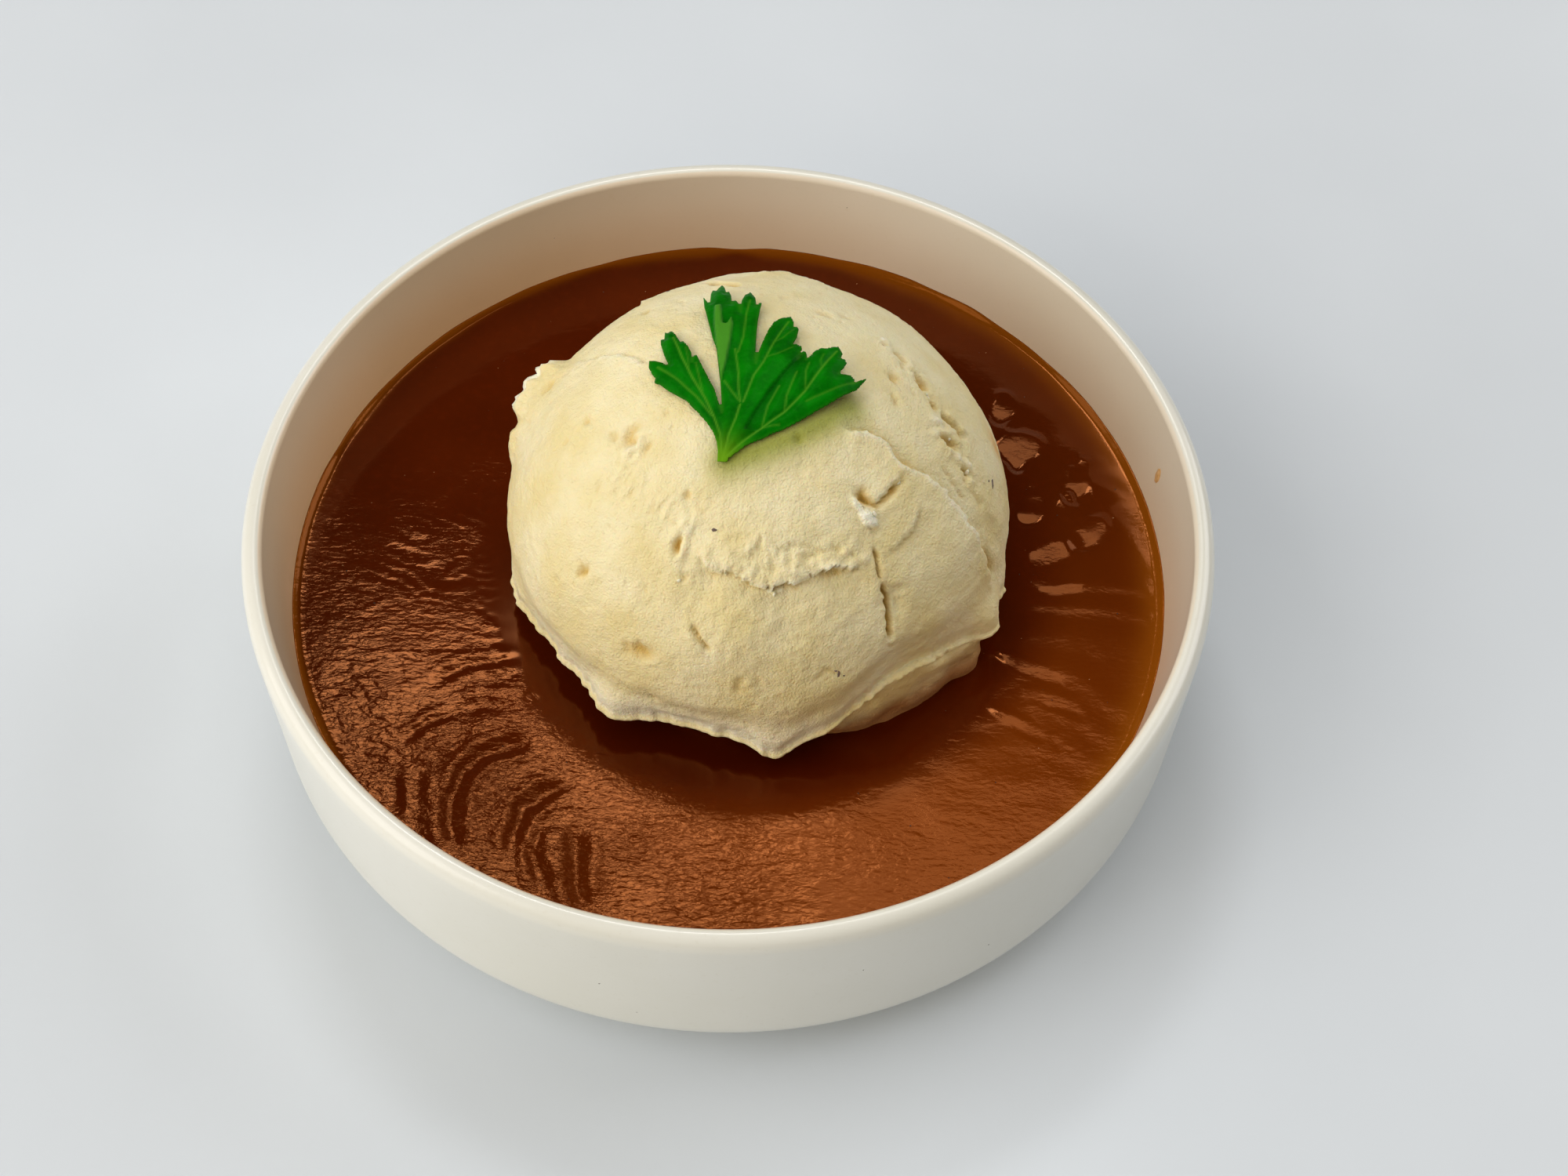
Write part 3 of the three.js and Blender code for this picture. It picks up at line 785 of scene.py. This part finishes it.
def make_gravy():
    """A ring of gravy that fills the bowl round the potato and climbs a little where it meets the wall."""
    inner_r = 31.6
    edge_r = WALL_R + 0.12
    rings = GRAVY_RINGS // 4
    profile = [(inner_r + (edge_r - inner_r) * k / rings, LEVEL) for k in range(rings + 1)]
    profile += [(WALL_R - 0.9, 15.0), (55.0, 8.2), (46.0, REST_Z), (30.0, REST_Z)]  # the underside
    profile += [(inner_r, LEVEL - 1), (inner_r, LEVEL)]
    obj = spun(profile, GRAVY_STEPS // 4, "gravy_pool")
    refine(obj, 2)
    points = places(obj)

    # The ring's hole goes round the potato, which stands a little off the bowl's middle.
    out = np.clip((np.hypot(points[:, 0], points[:, 1]) - inner_r) / (edge_r - inner_r), 0, 1)
    points[:, :2] += BALL[:2] * (1 - out)[:, None]
    radius = np.hypot(points[:, 0], points[:, 1])
    bearing = np.degrees(np.arctan2(points[:, 1], points[:, 0])) % 360
    top = points[:, 2] > LEVEL - 0.01
    climb = MENISCUS_RISE * bell((edge_r - radius) / 0.7)
    b = np.radians(bearing)
    ragged = lumps(np.column_stack([70 * np.cos(b), 70 * np.sin(b), 0 * b]), 6, 41)
    climb = climb * (1 + 0.4 * ragged) * (0.75 + 0.25 * facing(bearing, 60, 40))
    height = gravy_height(points[:, :2]) + climb
    points[:, 2] = np.where(top, np.minimum(LEVEL + height, GRAVY_HIGH.z + 0.5), points[:, 2])
    move_to(obj, points)

    # How thin the gravy is where it laps the wall: wider at the right and the back right.
    width = 1.0 + 2.4 * facing(bearing, 352, 34) + 1.5 * facing(bearing, 50, 25)
    width += 0.35 * ragged
    mark(obj, "thin", np.where(top, bell((edge_r - radius) / width), 0.0))

    # Where the skin is creased: most at the front left, least near the potato and at the right.
    from_potato = np.hypot(points[:, 0] - BALL[0], points[:, 1] - BALL[1]) - BODY_R
    spot = np.column_stack([points[:, :2], 0 * b])
    skin = smooth(5, 8.5, from_potato + 1.2 * lumps(spot, 2.5, 48) + 0.8 * lumps(spot, 0.9, 49))
    skin *= 0.16 + 0.84 * facing(bearing, 240, 38)
    mark(obj, "skin", skin * (0.75 + 0.5 * lumps(spot, 7, 45)))
    # Painted light: the gravy at the front right is painted lighter and more orange where the lamps light
    # it; the same mark also makes it a little duller there.
    mark(obj, "dried", smooth(5, 14, from_potato) * facing(bearing, 318, 58))
    # Painted shadow: the gravy is painted darker just in front of the potato, where the potato shades it.
    mark(obj, "calm", (1 - smooth(1, 9, from_potato)) * facing(bearing, 270, 60))
    return obj


def make_gravy_specks(gravy, name, count, small, large, seed):
    """Fine specks of pepper or of milk solids that float in the gravy."""
    dice = random.Random(seed)
    spots = []
    for _ in range(count):
        radius = math.sqrt(dice.uniform(37 ** 2, 60 ** 2))
        turn = dice.uniform(0, 2 * math.pi)
        start = Vector((radius * math.cos(turn), radius * math.sin(turn), 80)) * MM
        _, place, normal, _ = gravy.ray_cast(start, Vector((0, 0, -1)))
        size = dice.uniform(small, large)
        width = size * dice.uniform(0.5, 0.9)
        sunk = place - normal * 0.3 * size * MM
        spots.append((sunk, normal, size, width, 0.5 * size, dice.uniform(0, 360)))
    return scatter(spots, name, detail=1)


def wall_point(bowl, bearing, height, from_outside):
    """The place and the outward direction of the bowl's wall at a bearing and a height in mm."""
    b = math.radians(bearing)
    out = Vector((math.cos(b), math.sin(b), 0))
    start, way = (0.09, -out) if from_outside else (0.05, out)
    _, place, normal, _ = bowl.ray_cast(out * start + Vector((0, 0, height * MM)), way)
    return place, normal


def make_bowl_specks(bowl):
    """A few tiny dark specks in the glaze, outside and in."""
    outside = [(258, 22, 0.22), (262, 15, 0.15), (287, 26, 0.15), (303, 18, 0.2), (150, 30, 0.12),
               (95, 24, 0.15), (20, 21, 0.15)]
    inside = [(76, 33, 0.2), (118, 30, 0.14)]
    spots = []
    for number, (bearing, height, size) in enumerate(outside + inside):
        place, normal = wall_point(bowl, bearing, height, number < len(outside))
        spots.append((place - normal * 0.05 * MM, normal, size, 0.7 * size, 0.09, 40))
    return scatter(spots, "glaze_specks", detail=1)


def make_gravy_drop(bowl):
    """A dried drop of gravy on the inner wall at the right."""
    place, normal = wall_point(bowl, 13.5, 28.6, False)
    return scatter([(place, normal, 0.62, 1.25, 0.10, 0)], "gravy_drop", detail=3)


# ---------------------------------------------------------------- the parsley leaf

# The leaf's edge, in mm right of and behind the foot of the stem, lobe by lobe from the right: each tooth
# and each notch between teeth.
RIGHT_LOBE = [
    (0.6, 0.0), (0.9, 0.5), (3.0, 2.0), (5.2, 3.0), (7.8, 4.4), (10.0, 5.8), (11.8, 7.2), (13.8, 8.6),
    (15.6, 10.0), (17.2, 11.3), (18.6, 13.6), (17.6, 12.9), (16.6, 12.0), (16.9, 12.7), (16.4, 13.2),
    (15.6, 13.1), (14.7, 12.9), (15.4, 14.0), (15.8, 15.1), (15.5, 15.6), (14.9, 15.4), (15.2, 16.4),
    (14.6, 17.6), (13.8, 17.3), (12.8, 16.7), (12.6, 17.0), (11.6, 16.3), (10.8, 15.4), (10.4, 14.8),
    (10.5, 15.7), (10.2, 16.5), (9.8, 15.8), (9.3, 15.0),
]
MIDDLE_LOBE = [
    (9.8, 16.6), (9.7, 17.2), (9.1, 17.6), (8.6, 17.6), (9.1, 19.0), (9.3, 20.7), (9.0, 21.2), (8.6, 21.0),
    (8.6, 22.2), (8.2, 23.4), (7.0, 22.9), (6.0, 22.0), (5.3, 20.4), (4.6, 18.0), (4.1, 16.0), (3.8, 14.0),
]
CENTRE_LOBE = [
    (3.7, 15.4), (3.7, 18.2), (3.8, 22.0), (4.2, 26.2), (3.8, 25.9), (3.5, 25.2), (3.3, 27.2), (2.6, 28.7),
    (1.9, 27.8), (1.5, 26.2), (1.4, 23.8), (1.1, 25.4), (0.6, 26.4), (0.2, 25.6), (0.0, 27.6), (-0.4, 29.0),
    (-0.7, 28.4), (-1.0, 30.2), (-1.4, 31.4), (-1.8, 30.5), (-2.1, 29.5), (-2.6, 29.9), (-2.8, 28.6),
    (-2.8, 26.2), (-3.2, 26.6), (-3.8, 28.0), (-3.5, 25.2), (-2.8, 22.0), (-2.1, 19.0), (-1.5, 16.8),
    (-1.0, 13.0), (-0.7, 11.0), (-0.4, 8.0), (-0.3, 6.6),
]
LEFT_LOBE = [
    (-1.4, 10.0), (-2.8, 13.0), (-3.8, 15.4), (-4.2, 16.3), (-4.5, 15.7), (-4.6, 14.9), (-4.8, 16.6),
    (-5.4, 18.0), (-6.0, 18.9), (-6.4, 18.8), (-7.2, 20.6), (-7.8, 21.5), (-8.1, 21.0), (-8.6, 21.2),
    (-8.6, 19.8), (-9.1, 20.0), (-9.0, 18.8), (-8.4, 16.6), (-7.7, 14.8), (-8.6, 15.5), (-9.6, 16.0),
    (-10.4, 16.2), (-10.4, 15.2), (-9.8, 13.8), (-9.4, 13.2), (-9.5, 12.5), (-8.8, 12.0), (-6.8, 10.2),
    (-5.0, 8.6), (-3.4, 6.8), (-2.2, 5.2), (-1.3, 3.8), (-0.8, 2.6), (-0.6, 1.4), (-0.6, 0.1),
]

# The veins, as (points, strength).
LEAF_VEINS = [
    ([(0.0, 0.2), (0.7, 3.4), (1.5, 5.6), (2.0, 7.6)], 1.0),
    ([(2.0, 8.0), (1.7, 10.0), (1.6, 12.4), (1.0, 16.6)], 0.8),
    ([(1.4, 16.0), (2.0, 18.8), (2.2, 23.2), (2.6, 26.4)], 0.7),
    ([(1.8, 8.2), (0.8, 9.6), (-0.2, 11.2)], 0.7),
    ([(2.4, 8.0), (3.6, 12.0), (4.8, 14.2), (6.2, 18.2), (7.9, 22.2)], 0.85),
    ([(0.0, 0.4), (-0.4, 3.6), (-1.4, 6.2), (-2.6, 8.8), (-4.4, 12.2), (-6.0, 15.8), (-7.4, 19.8)], 1.0),
    ([(-1.6, 6.2), (-3.8, 9.2), (-6.2, 12.0), (-9.2, 14.8)], 0.8),
    ([(-3.0, 9.8), (-3.6, 12.4), (-4.1, 14.6)], 0.5),
    ([(0.3, 0.4), (1.4, 1.6), (3.2, 3.0), (5.0, 4.4), (7.8, 6.8), (10.4, 9.8), (12.2, 12.8),
      (14.4, 16.6)], 1.0),
    ([(7.8, 6.8), (8.0, 9.0), (9.2, 12.6)], 0.6),
    ([(5.0, 4.6), (5.6, 7.6), (7.0, 10.6)], 0.6),
    ([(5.2, 4.4), (7.2, 4.9)], 0.5),
    ([(10.4, 10.2), (10.4, 12.6), (10.8, 14.0)], 0.5),
    ([(12.4, 13.0), (12.3, 14.4), (12.7, 15.6)], 0.4),
    ([(10.6, 8.4), (14.0, 10.4), (17.4, 12.6)], 0.5),
    ([(6.2, 18.0), (7.2, 18.6), (8.6, 20.4)], 0.4),
    ([(5.0, 15.0), (6.6, 15.6), (8.6, 17.0)], 0.4),
    ([(-5.0, 13.6), (-5.2, 15.6), (-5.6, 17.6)], 0.4),
]

# The centre lobe's left edge is folded over and shows its pale underside.
LEAF_FOLD = [
    (-0.6, 10.6), (-1.1, 13.0), (-1.6, 17.0), (-2.1, 21.2), (-2.2, 25.0), (-1.2, 25.2), (-0.8, 21.4),
    (-0.4, 21.2), (0.3, 22.8), (0.6, 21.0), (0.4, 17.8), (0.0, 14.2),
]

# Where the middle lobe lies over the right one.
LEAF_OVERLAP = [(9.4, 15.4), (7.4, 12.6), (5.6, 9.8), (3.8, 6.6), (2.6, 4.0)]


def make_leaf():
    """One parsley leaf: a fine sheet trimmed to the leaf's edge, with its veins, its fold and its droop."""
    cell = 0.20
    thickness = 0.20
    below_top = 0.12
    loop = np.array(RIGHT_LOBE + MIDDLE_LOBE + CENTRE_LOBE + LEFT_LOBE)
    low, high = loop.min(0) - 1, loop.max(0) + 1
    counts = np.ceil((high - low) / cell).astype(int)
    size = counts * cell
    middle = (low + size / 2 + STEM) * MM
    bpy.ops.mesh.primitive_grid_add(
        x_subdivisions=int(counts[0]), y_subdivisions=int(counts[1]), size=MM,
        location=(middle[0], middle[1], 0))
    bpy.context.object.scale = (size[0], size[1], 1)
    obj = settle(bpy.context.object, "parsley_leaf_blade")
    flat = places(obj)[:, :2] - STEM
    closed = np.vstack([loop, loop[:1]])
    away, foot = distance_to(flat, closed)
    snapped = away < 0.55 * cell
    outside = ~inside_of(flat, loop) & ~snapped
    flat = np.where(snapped[:, None], foot, flat)
    edit(obj)
    mesh = bmesh.from_edit_mesh(obj.data)
    bpy.ops.mesh.select_all(action="DESELECT")
    for vert, place in zip(mesh.verts, (flat + STEM) * MM):
        vert.co = (place[0], place[1], 0)
    for face in mesh.faces:
        face.select = any(outside[vert.index] for vert in face.verts)
    bmesh.update_edit_mesh(obj.data)
    bpy.ops.mesh.delete(type="FACE")
    bpy.ops.mesh.select_all(action="SELECT")
    bpy.ops.mesh.remove_doubles(threshold=0.00002)
    bpy.ops.mesh.delete_loose()
    bpy.ops.mesh.select_all(action="SELECT")
    bpy.ops.mesh.dissolve_degenerate(threshold=0.00001)
    done()

    points = places(obj)
    flat = points[:, :2] - STEM
    rim, _ = distance_to(flat, closed)
    veins = np.zeros(len(flat))
    groove = np.zeros(len(flat))
    for path, strength in LEAF_VEINS:
        near, _ = distance_to(flat, np.array(path))
        veins = np.maximum(veins, strength * bell(near / 0.13))
        groove = np.maximum(groove, strength * bell(near / 0.55))
    fold_edge, _ = distance_to(flat, np.array(LEAF_FOLD + LEAF_FOLD[:1]))
    folded = inside_of(flat, np.array(LEAF_FOLD)) * smooth(0, 0.25, fold_edge)
    veins *= 1 - folded
    seam, foot = distance_to(flat, np.array(LEAF_OVERLAP))
    below = (flat[:, 0] - foot[:, 0] > flat[:, 1] - foot[:, 1]) * bell(seam / 1.6)
    below = below * (flat[:, 1] > 4) * smooth(0.0, 0.15, seam)

    distance = np.hypot(flat[:, 0], flat[:, 1])
    bearing = np.degrees(np.arctan2(flat[:, 1], flat[:, 0]))
    out = points[:, :2] - BALL[:2]
    ball_z = BALL[2] + np.sqrt(np.maximum((BALL_R + 0.2) ** 2 - (out ** 2).sum(1), 1))
    lift = 0.5 + 1.5 * smooth(9, 20, distance) * bell((bearing - 45) / 18)
    lift += 0.9 * smooth(16, 30, distance) * bell((bearing - 90) / 14)
    lift += 0.6 * smooth(12, 22, distance) * bell((bearing - 116) / 12)
    spot = np.column_stack([flat, 0 * rim])
    pad = 0.32 * (1 - groove) * smooth(0, 1.0, rim) + 0.14 * lumps(spot, 2.2, 51)
    edge_curl = 0.25 * bell(rim / 0.5) * lumps(spot, 3.0, 52)
    z = ball_z + lift + pad + edge_curl + 0.45 * folded - 0.4 * below
    move_to(obj, np.column_stack([points[:, :2], np.minimum(z, CAD_HIGH.z / MM - below_top)]))
    mark(obj, "vein", veins)
    mark(obj, "stem", bell(distance / 2.6))
    mark(obj, "pale", folded)
    mark(obj, "rim", bell(rim / 0.22))
    mark(obj, "shade", below)
    thick = obj.modifiers.new("leaf thickness", "SOLIDIFY")
    thick.thickness = thickness * MM
    thick.offset = -1
    apply_modifiers(obj)
    return obj


# ---------------------------------------------------------------- materials

def add(tree, kind, **values):
    """Adds a node. A value that names one of its properties is set on it; any other goes to the input of
    that name, as a link when it is another node's output and as a constant when it isn't."""
    made = tree.nodes.new("ShaderNode" + kind)
    for key, value in values.items():
        if hasattr(made, key) and not isinstance(value, bpy.types.NodeSocket):
            setattr(made, key, value)
            continue
        place = int(key[1:]) if key[0] == "_" else key.replace("_", " ")
        if isinstance(value, bpy.types.NodeSocket):
            tree.links.new(value, made.inputs[place])
        else:
            made.inputs[place].default_value = value
    return made


def new_material(name):
    material = bpy.data.materials.new(name)
    material.use_nodes = True
    material.node_tree.nodes.clear()
    return material, material.node_tree


def finished(material, shader):
    add(material.node_tree, "OutputMaterial", Surface=shader.outputs[0])
    return material


def blotches(tree, millimetres, detail=3.0, contrast=(0.35, 0.65)):
    """A 0 to 1 pattern of soft patches of about a size in mm, in the object's own coordinates."""
    where = add(tree, "TexCoord").outputs["Object"]
    noise = add(tree, "TexNoise", Vector=where, Scale=1000 / millimetres, Detail=detail)
    low, high = contrast
    return add(tree, "MapRange", Value=noise.outputs[0], From_Min=low, From_Max=high).outputs[0]


def laid_over(tree, colour, layers):
    """Lays colours over one, in order. Each is (where, how strongly, colour), and "where" is the name of
    a number kept on the piece's surface, or a node's output."""
    for where, strength, top in layers:
        if isinstance(where, str):
            where = add(tree, "Attribute", attribute_name=where).outputs["Fac"]
        if strength < 1:
            where = add(tree, "Math", operation="MULTIPLY", _0=where, _1=strength).outputs[0]
        under, over = (linear(c) if isinstance(c, str) else c for c in (colour, top))
        colour = add(tree, "Mix", data_type="RGBA", _0=where, _6=under, _7=over).outputs[2]
    return colour


def relieved(tree, layers):
    """Fine relief laid on relief. Each layer is (pattern, height in mm)."""
    normal = None
    for pattern, height in layers:
        bump = add(tree, "Bump", Height=pattern, Distance=height * MM)
        if normal:
            tree.links.new(normal, bump.inputs["Normal"])
        normal = bump.outputs[0]
    return normal


SOFT = (0.2, 0.8)  # the contrast of a pattern that is felt more than seen


def potato_material(name, pale="#F1E6BC", deep="#E8D8A0", white="#FAF6E0", crack="#D2AE5C"):
    """Cold-pressed mashed potato: pale butter yellow, waxy where the scoop smoothed it and white and
    crumbly where it tore, brown where gravy soaked in, golden at a stain, with light going a little way
    into it. Light and shade are painted on too: a painted green shadow under the leaf, painted shade
    deepening the colour in cracks, pits, hollows and under the skirt, and painted highlight whitening
    raised edges and the ledge."""
    material, tree = new_material(name)
    tone = add(tree, "Attribute", attribute_name="tone").outputs["Fac"]
    whiter = add(tree, "MapRange", Value=tone, From_Min=0.05, From_Max=1.0).outputs[0]
    painted_crevice_shade = add(tree, "MapRange", Value=tone, From_Min=-0.05, From_Max=-1.0).outputs[0]
    # The crack colour is painted shade, 'whiter' is crumbled mash and painted highlight together, and
    # 'green' is a painted shadow of the leaf.
    colour = laid_over(tree, deep, [
        (blotches(tree, 9.0), 1, pale), (blotches(tree, 1.6, 4.0, (0.45, 0.75)), 0.25, deep),
        (whiter, 1, white), (painted_crevice_shade, 1, crack), ("green", 0.95, "#959A3C"),
        ("golden", 0.75, "#D9993A"), ("soaked", 0.85, "#93501A")])
    grain = relieved(tree, [
        (blotches(tree, 0.32, 3.0, SOFT), 0.11), (blotches(tree, 1.1, 3.0, SOFT), 0.13),
        (blotches(tree, 3.2, 2.0, SOFT), 0.16)])
    shine = add(tree, "MapRange", Value=blotches(tree, 5.0), To_Min=0.50, To_Max=0.66)
    shader = add(
        tree, "BsdfPrincipled", Base_Color=colour, Roughness=shine.outputs[0], Normal=grain,
        Subsurface_Weight=0.3, Subsurface_Radius=(1.0, 0.62, 0.28), Subsurface_Scale=0.7 * MM,
        Specular_IOR_Level=0.35)
    return finished(material, shader)


def gravy_material():
    """Brown gravy thickened with flour: deep red brown and wet, calm in front of the potato, with a painted
    shadow darkening it there, painted light making it lighter and more orange at the front right, where it
    is also a little duller as its skin dried, finely creased along the way it was spread, with warm
    reflections, and amber where it runs thin up the wall."""
    material, tree = new_material("brown gravy")
    # The 'dried' colour is painted light at the front right, and the 'calm' colour is a painted shadow of
    # the potato.
    colour = laid_over(tree, "#451301", [
        (blotches(tree, 14.0, 4.0), 1, "#4C1601"), (blotches(tree, 1.2, 2.0, (0.5, 0.8)), 0.3, "#581A02"),
        ("dried", 1, "#6A2C02"), ("calm", 1, "#360900"), ("thin", 0.85, "#8A4A0A")])
    where = add(tree, "TexCoord").outputs["Object"]
    across = add(tree, "Mapping", Vector=where, Scale=(0.5, 1.0, 1.0)).outputs[0]
    skin, dried = (add(tree, "Attribute", attribute_name=name).outputs["Fac"] for name in ("skin", "dried"))
    creases = []
    for size, detail, height in [(0.55, 3.0, 0.13), (1.6, 2.0, 0.22)]:
        noise = add(tree, "TexNoise", Vector=across, Scale=1000 / size, Detail=detail, Distortion=0.5)
        held = add(tree, "Math", operation="MULTIPLY", _0=noise.outputs[0], _1=skin)
        creases.append((held.outputs[0], height))
    shine = add(tree, "MapRange", Value=skin, To_Min=0.07, To_Max=0.15).outputs[0]
    duller = add(tree, "Math", operation="MULTIPLY", _0=dried, _1=0.05).outputs[0]
    shine = add(tree, "Math", operation="ADD", _0=shine, _1=duller).outputs[0]
    shader = add(
        tree, "BsdfPrincipled", Base_Color=colour, Roughness=shine, Normal=relieved(tree, creases),
        Specular_IOR_Level=0.55, Specular_Tint=linear("#FF9A4E"))
    return finished(material, shader)


def glaze_material():
    """Glazed stoneware: a warm cream white under a thin soft-sheened glaze, faintly uneven, with painted
    bounce light from the gravy warming the inner wall.
    """
    material, tree = new_material("cream glazed stoneware")
    # The 'inside' colour is painted bounce light from the gravy, not a colour of the glaze.
    colour = laid_over(tree, "#E3E2D6", [
        (blotches(tree, 30.0), 1, "#E8E7DD"), (blotches(tree, 0.8, 2.0, (0.62, 0.75)), 0.12, "#CFC6AE"),
        ("inside", 0.85, "#F3C48C")])
    glaze = relieved(tree, [
        (blotches(tree, 9.0, 2.0, SOFT), 0.05), (blotches(tree, 1.1, 2.0, SOFT), 0.006)])
    shader = add(
        tree, "BsdfPrincipled", Base_Color=colour, Roughness=0.3, Normal=glaze, Coat_Weight=0.4,
        Coat_Roughness=0.14)
    return finished(material, shader)


def leaf_material():
    """Fresh flat-leaf parsley: strong green with paler veins, a paler underside where it folds over, a waxy
    green sheen, and light showing through."""
    material, tree = new_material("fresh parsley leaf")
    colour = laid_over(tree, "#036803", [
        (blotches(tree, 3.0), 1, "#088406"), (blotches(tree, 0.7, 2.0, (0.5, 0.8)), 0.3, "#1E8C12"),
        ("shade", 0.5, "#034A04"), ("rim", 0.4, "#3E8A1C"), ("vein", 0.75, "#5FA828"),
        ("pale", 1, "#4E9C2A"), ("stem", 0.8, "#7DB41C")])
    fine = relieved(tree, [(blotches(tree, 0.6, 2.0, SOFT), 0.05)])
    shader = add(
        tree, "BsdfPrincipled", Base_Color=colour, Roughness=0.42, Normal=fine,
        Specular_IOR_Level=0.15, Specular_Tint=linear("#5CE05C"))
    through = add(tree, "BsdfTranslucent", Color=colour, Normal=fine)
    both = add(tree, "MixShader", Fac=0.25, _1=shader.outputs[0], _2=through.outputs[0])
    return finished(material, both)


def mottled_material(name, first, second, roughness, patch=0.3, grain=0.15, height=0.02):
    """Plain stuff, mottled between two close shades in patches of a size in mm, with a fine grain."""
    material, tree = new_material(name)
    shader = add(
        tree, "BsdfPrincipled", Base_Color=laid_over(tree, first, [(blotches(tree, patch), 1, second)]),
        Roughness=roughness, Normal=relieved(tree, [(blotches(tree, grain), height)]))
    return finished(material, shader)


def paint(obj, material):
    obj.data.materials.clear()
    obj.data.materials.append(material)


# ---------------------------------------------------------------- the pieces

bowl = make_bowl()
gravy = make_gravy()
scoop = make_scoop()
leaf = make_leaf()
flakes = make_flakes(scoop)
potato_specks = make_potato_specks(scoop)
dark_specks = make_gravy_specks(gravy, "pepper_specks", 60, 0.10, 0.24, SEED)
light_specks = make_gravy_specks(gravy, "milk_specks", 40, 0.08, 0.16, SEED + 1)
glaze_specks = make_bowl_specks(bowl)
drop = make_gravy_drop(bowl)

paint(bowl, glaze_material())
paint(gravy, gravy_material())
paint(scoop, potato_material("mashed potato"))
paint(flakes, potato_material("torn mashed potato", "#F8F2DC", "#F3EACB", "#FCF8EA", "#EADCA8"))
paint(leaf, leaf_material())
# The specks are matt: brown skin, near-black pepper, tan milk solids, and iron that melted in the glaze.
paint(potato_specks, mottled_material("potato skin speck", "#5C4C44", "#8A7468", 0.6))
paint(dark_specks, mottled_material("ground pepper", "#1A0A04", "#2C1206", 0.5))
paint(light_specks, mottled_material("milk solid", "#B0805A", "#9A6A44", 0.5))
paint(glaze_specks, mottled_material("iron speck in the glaze", "#4A3626", "#5C4632", 0.4))
# A dried drop of gravy is a thin glossy orange-brown film.
paint(drop, mottled_material("dried gravy drop", "#E6BC86", "#D9A668", 0.3, 0.8, 0.4, 0.01))

for piece, node_name, slot_name in [
        (bowl, "bowl", "bowl_glaze"), (gravy, "gravy", "gravy"), (scoop, "mashed_potato", "mashed_potato"),
        (leaf, "parsley_leaf", "parsley_leaf")]:
    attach(piece, "root")
    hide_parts(node_name)
for piece in [flakes, potato_specks, dark_specks, light_specks, glaze_specks, drop]:
    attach(piece, "root")

# ---------------------------------------------------------------- floor, light and camera

bpy.ops.mesh.primitive_plane_add(size=6, location=(0, 0, 0))
floor = settle(bpy.context.object, "floor")
# A plain pale board, very faintly uneven.
paint(floor, mottled_material("pale board", "#D5DCE3", "#DAE1E8", 0.6, 90.0, 3.0, 0.01))


def lamp(name, elevation, azimuth, distance, width, height, strength, colour, mirrored=False):
    """A soft lamp that faces the bowl from an elevation and an azimuth, with its sizes in metres. Its
    strength is how bright its face is. Only a mirrored one shows in what is wet or glazed."""
    e, a = math.radians(elevation), math.radians(azimuth)
    way = Vector((math.cos(a) * math.cos(e), math.sin(a) * math.cos(e), math.sin(e)))
    bpy.ops.object.light_add(type="AREA", location=way * distance)
    light = bpy.context.object
    light.name = name
    light.rotation_euler = way.to_track_quat("Z", "Y").to_euler()
    light.data.shape = "RECTANGLE"
    light.data.size = width
    light.data.size_y = height
    light.data.energy = strength * math.pi * width * height
    light.data.color = linear(colour)[:3]
    light.visible_glossy = mirrored


lamp("overhead panel", 61.8, 103, 1.1, 0.30, 0.166, 11.0, "#FFFFFF", True)
lamp("side panel", 65.8, 72, 1.1, 0.19, 0.154, 3.4, "#FFFFFF", True)
lamp("left window", 37, 192, 1.6, 1.35, 1.25, 2.0, "#FFFDFA", True)
lamp("upper left fill", 45, 215, 1.6, 1.2, 1.0, 0.8, "#FFFDFA")
lamp("low left fill", 15, 195, 1.6, 1.4, 0.7, 1.5, "#FFFAF2")
lamp("right fill", 35, 30, 1.6, 1.1, 0.9, 2.65, "#FDFEFF", True)
lamp("front left fill", 30, 238, 1.6, 1.2, 0.8, 2.1, "#FFF4E4")
lamp("ceiling", 85, 180, 1.5, 1.3, 1.3, 0.9, "#FCFEFF")

world = bpy.data.worlds.new("room")
bpy.context.scene.world = world
world.use_nodes = True
world.node_tree.nodes.clear()
sky = add(world.node_tree, "Background", Color=linear("#FFDCA8"), Strength=0.09)
add(world.node_tree, "OutputWorld", Surface=sky.outputs[0])

# The camera looks down from the front, turned a little about its own axis.
AIM = Vector((7.9, 0.0, 17.7)) * MM
DISTANCE = 334.6 * MM
TILT = math.radians(55.2)
ROLL = math.radians(2.09)
right = Vector((1, 0, 0))
up = Vector((0, math.sin(TILT), math.cos(TILT)))
forward = Vector((0, math.cos(TILT), -math.sin(TILT)))
turned_right = right * math.cos(ROLL) + up * math.sin(ROLL)
turned_up = up * math.cos(ROLL) - right * math.sin(ROLL)
bpy.ops.object.camera_add(location=AIM - forward * DISTANCE)
camera = bpy.context.object
turn = Matrix((turned_right, turned_up, -forward)).transposed()
camera.rotation_euler = turn.to_euler()
camera.data.lens = 52.2
camera.data.sensor_width = 36
bpy.context.scene.camera = camera
bpy.context.scene.view_settings.view_transform = "Standard"
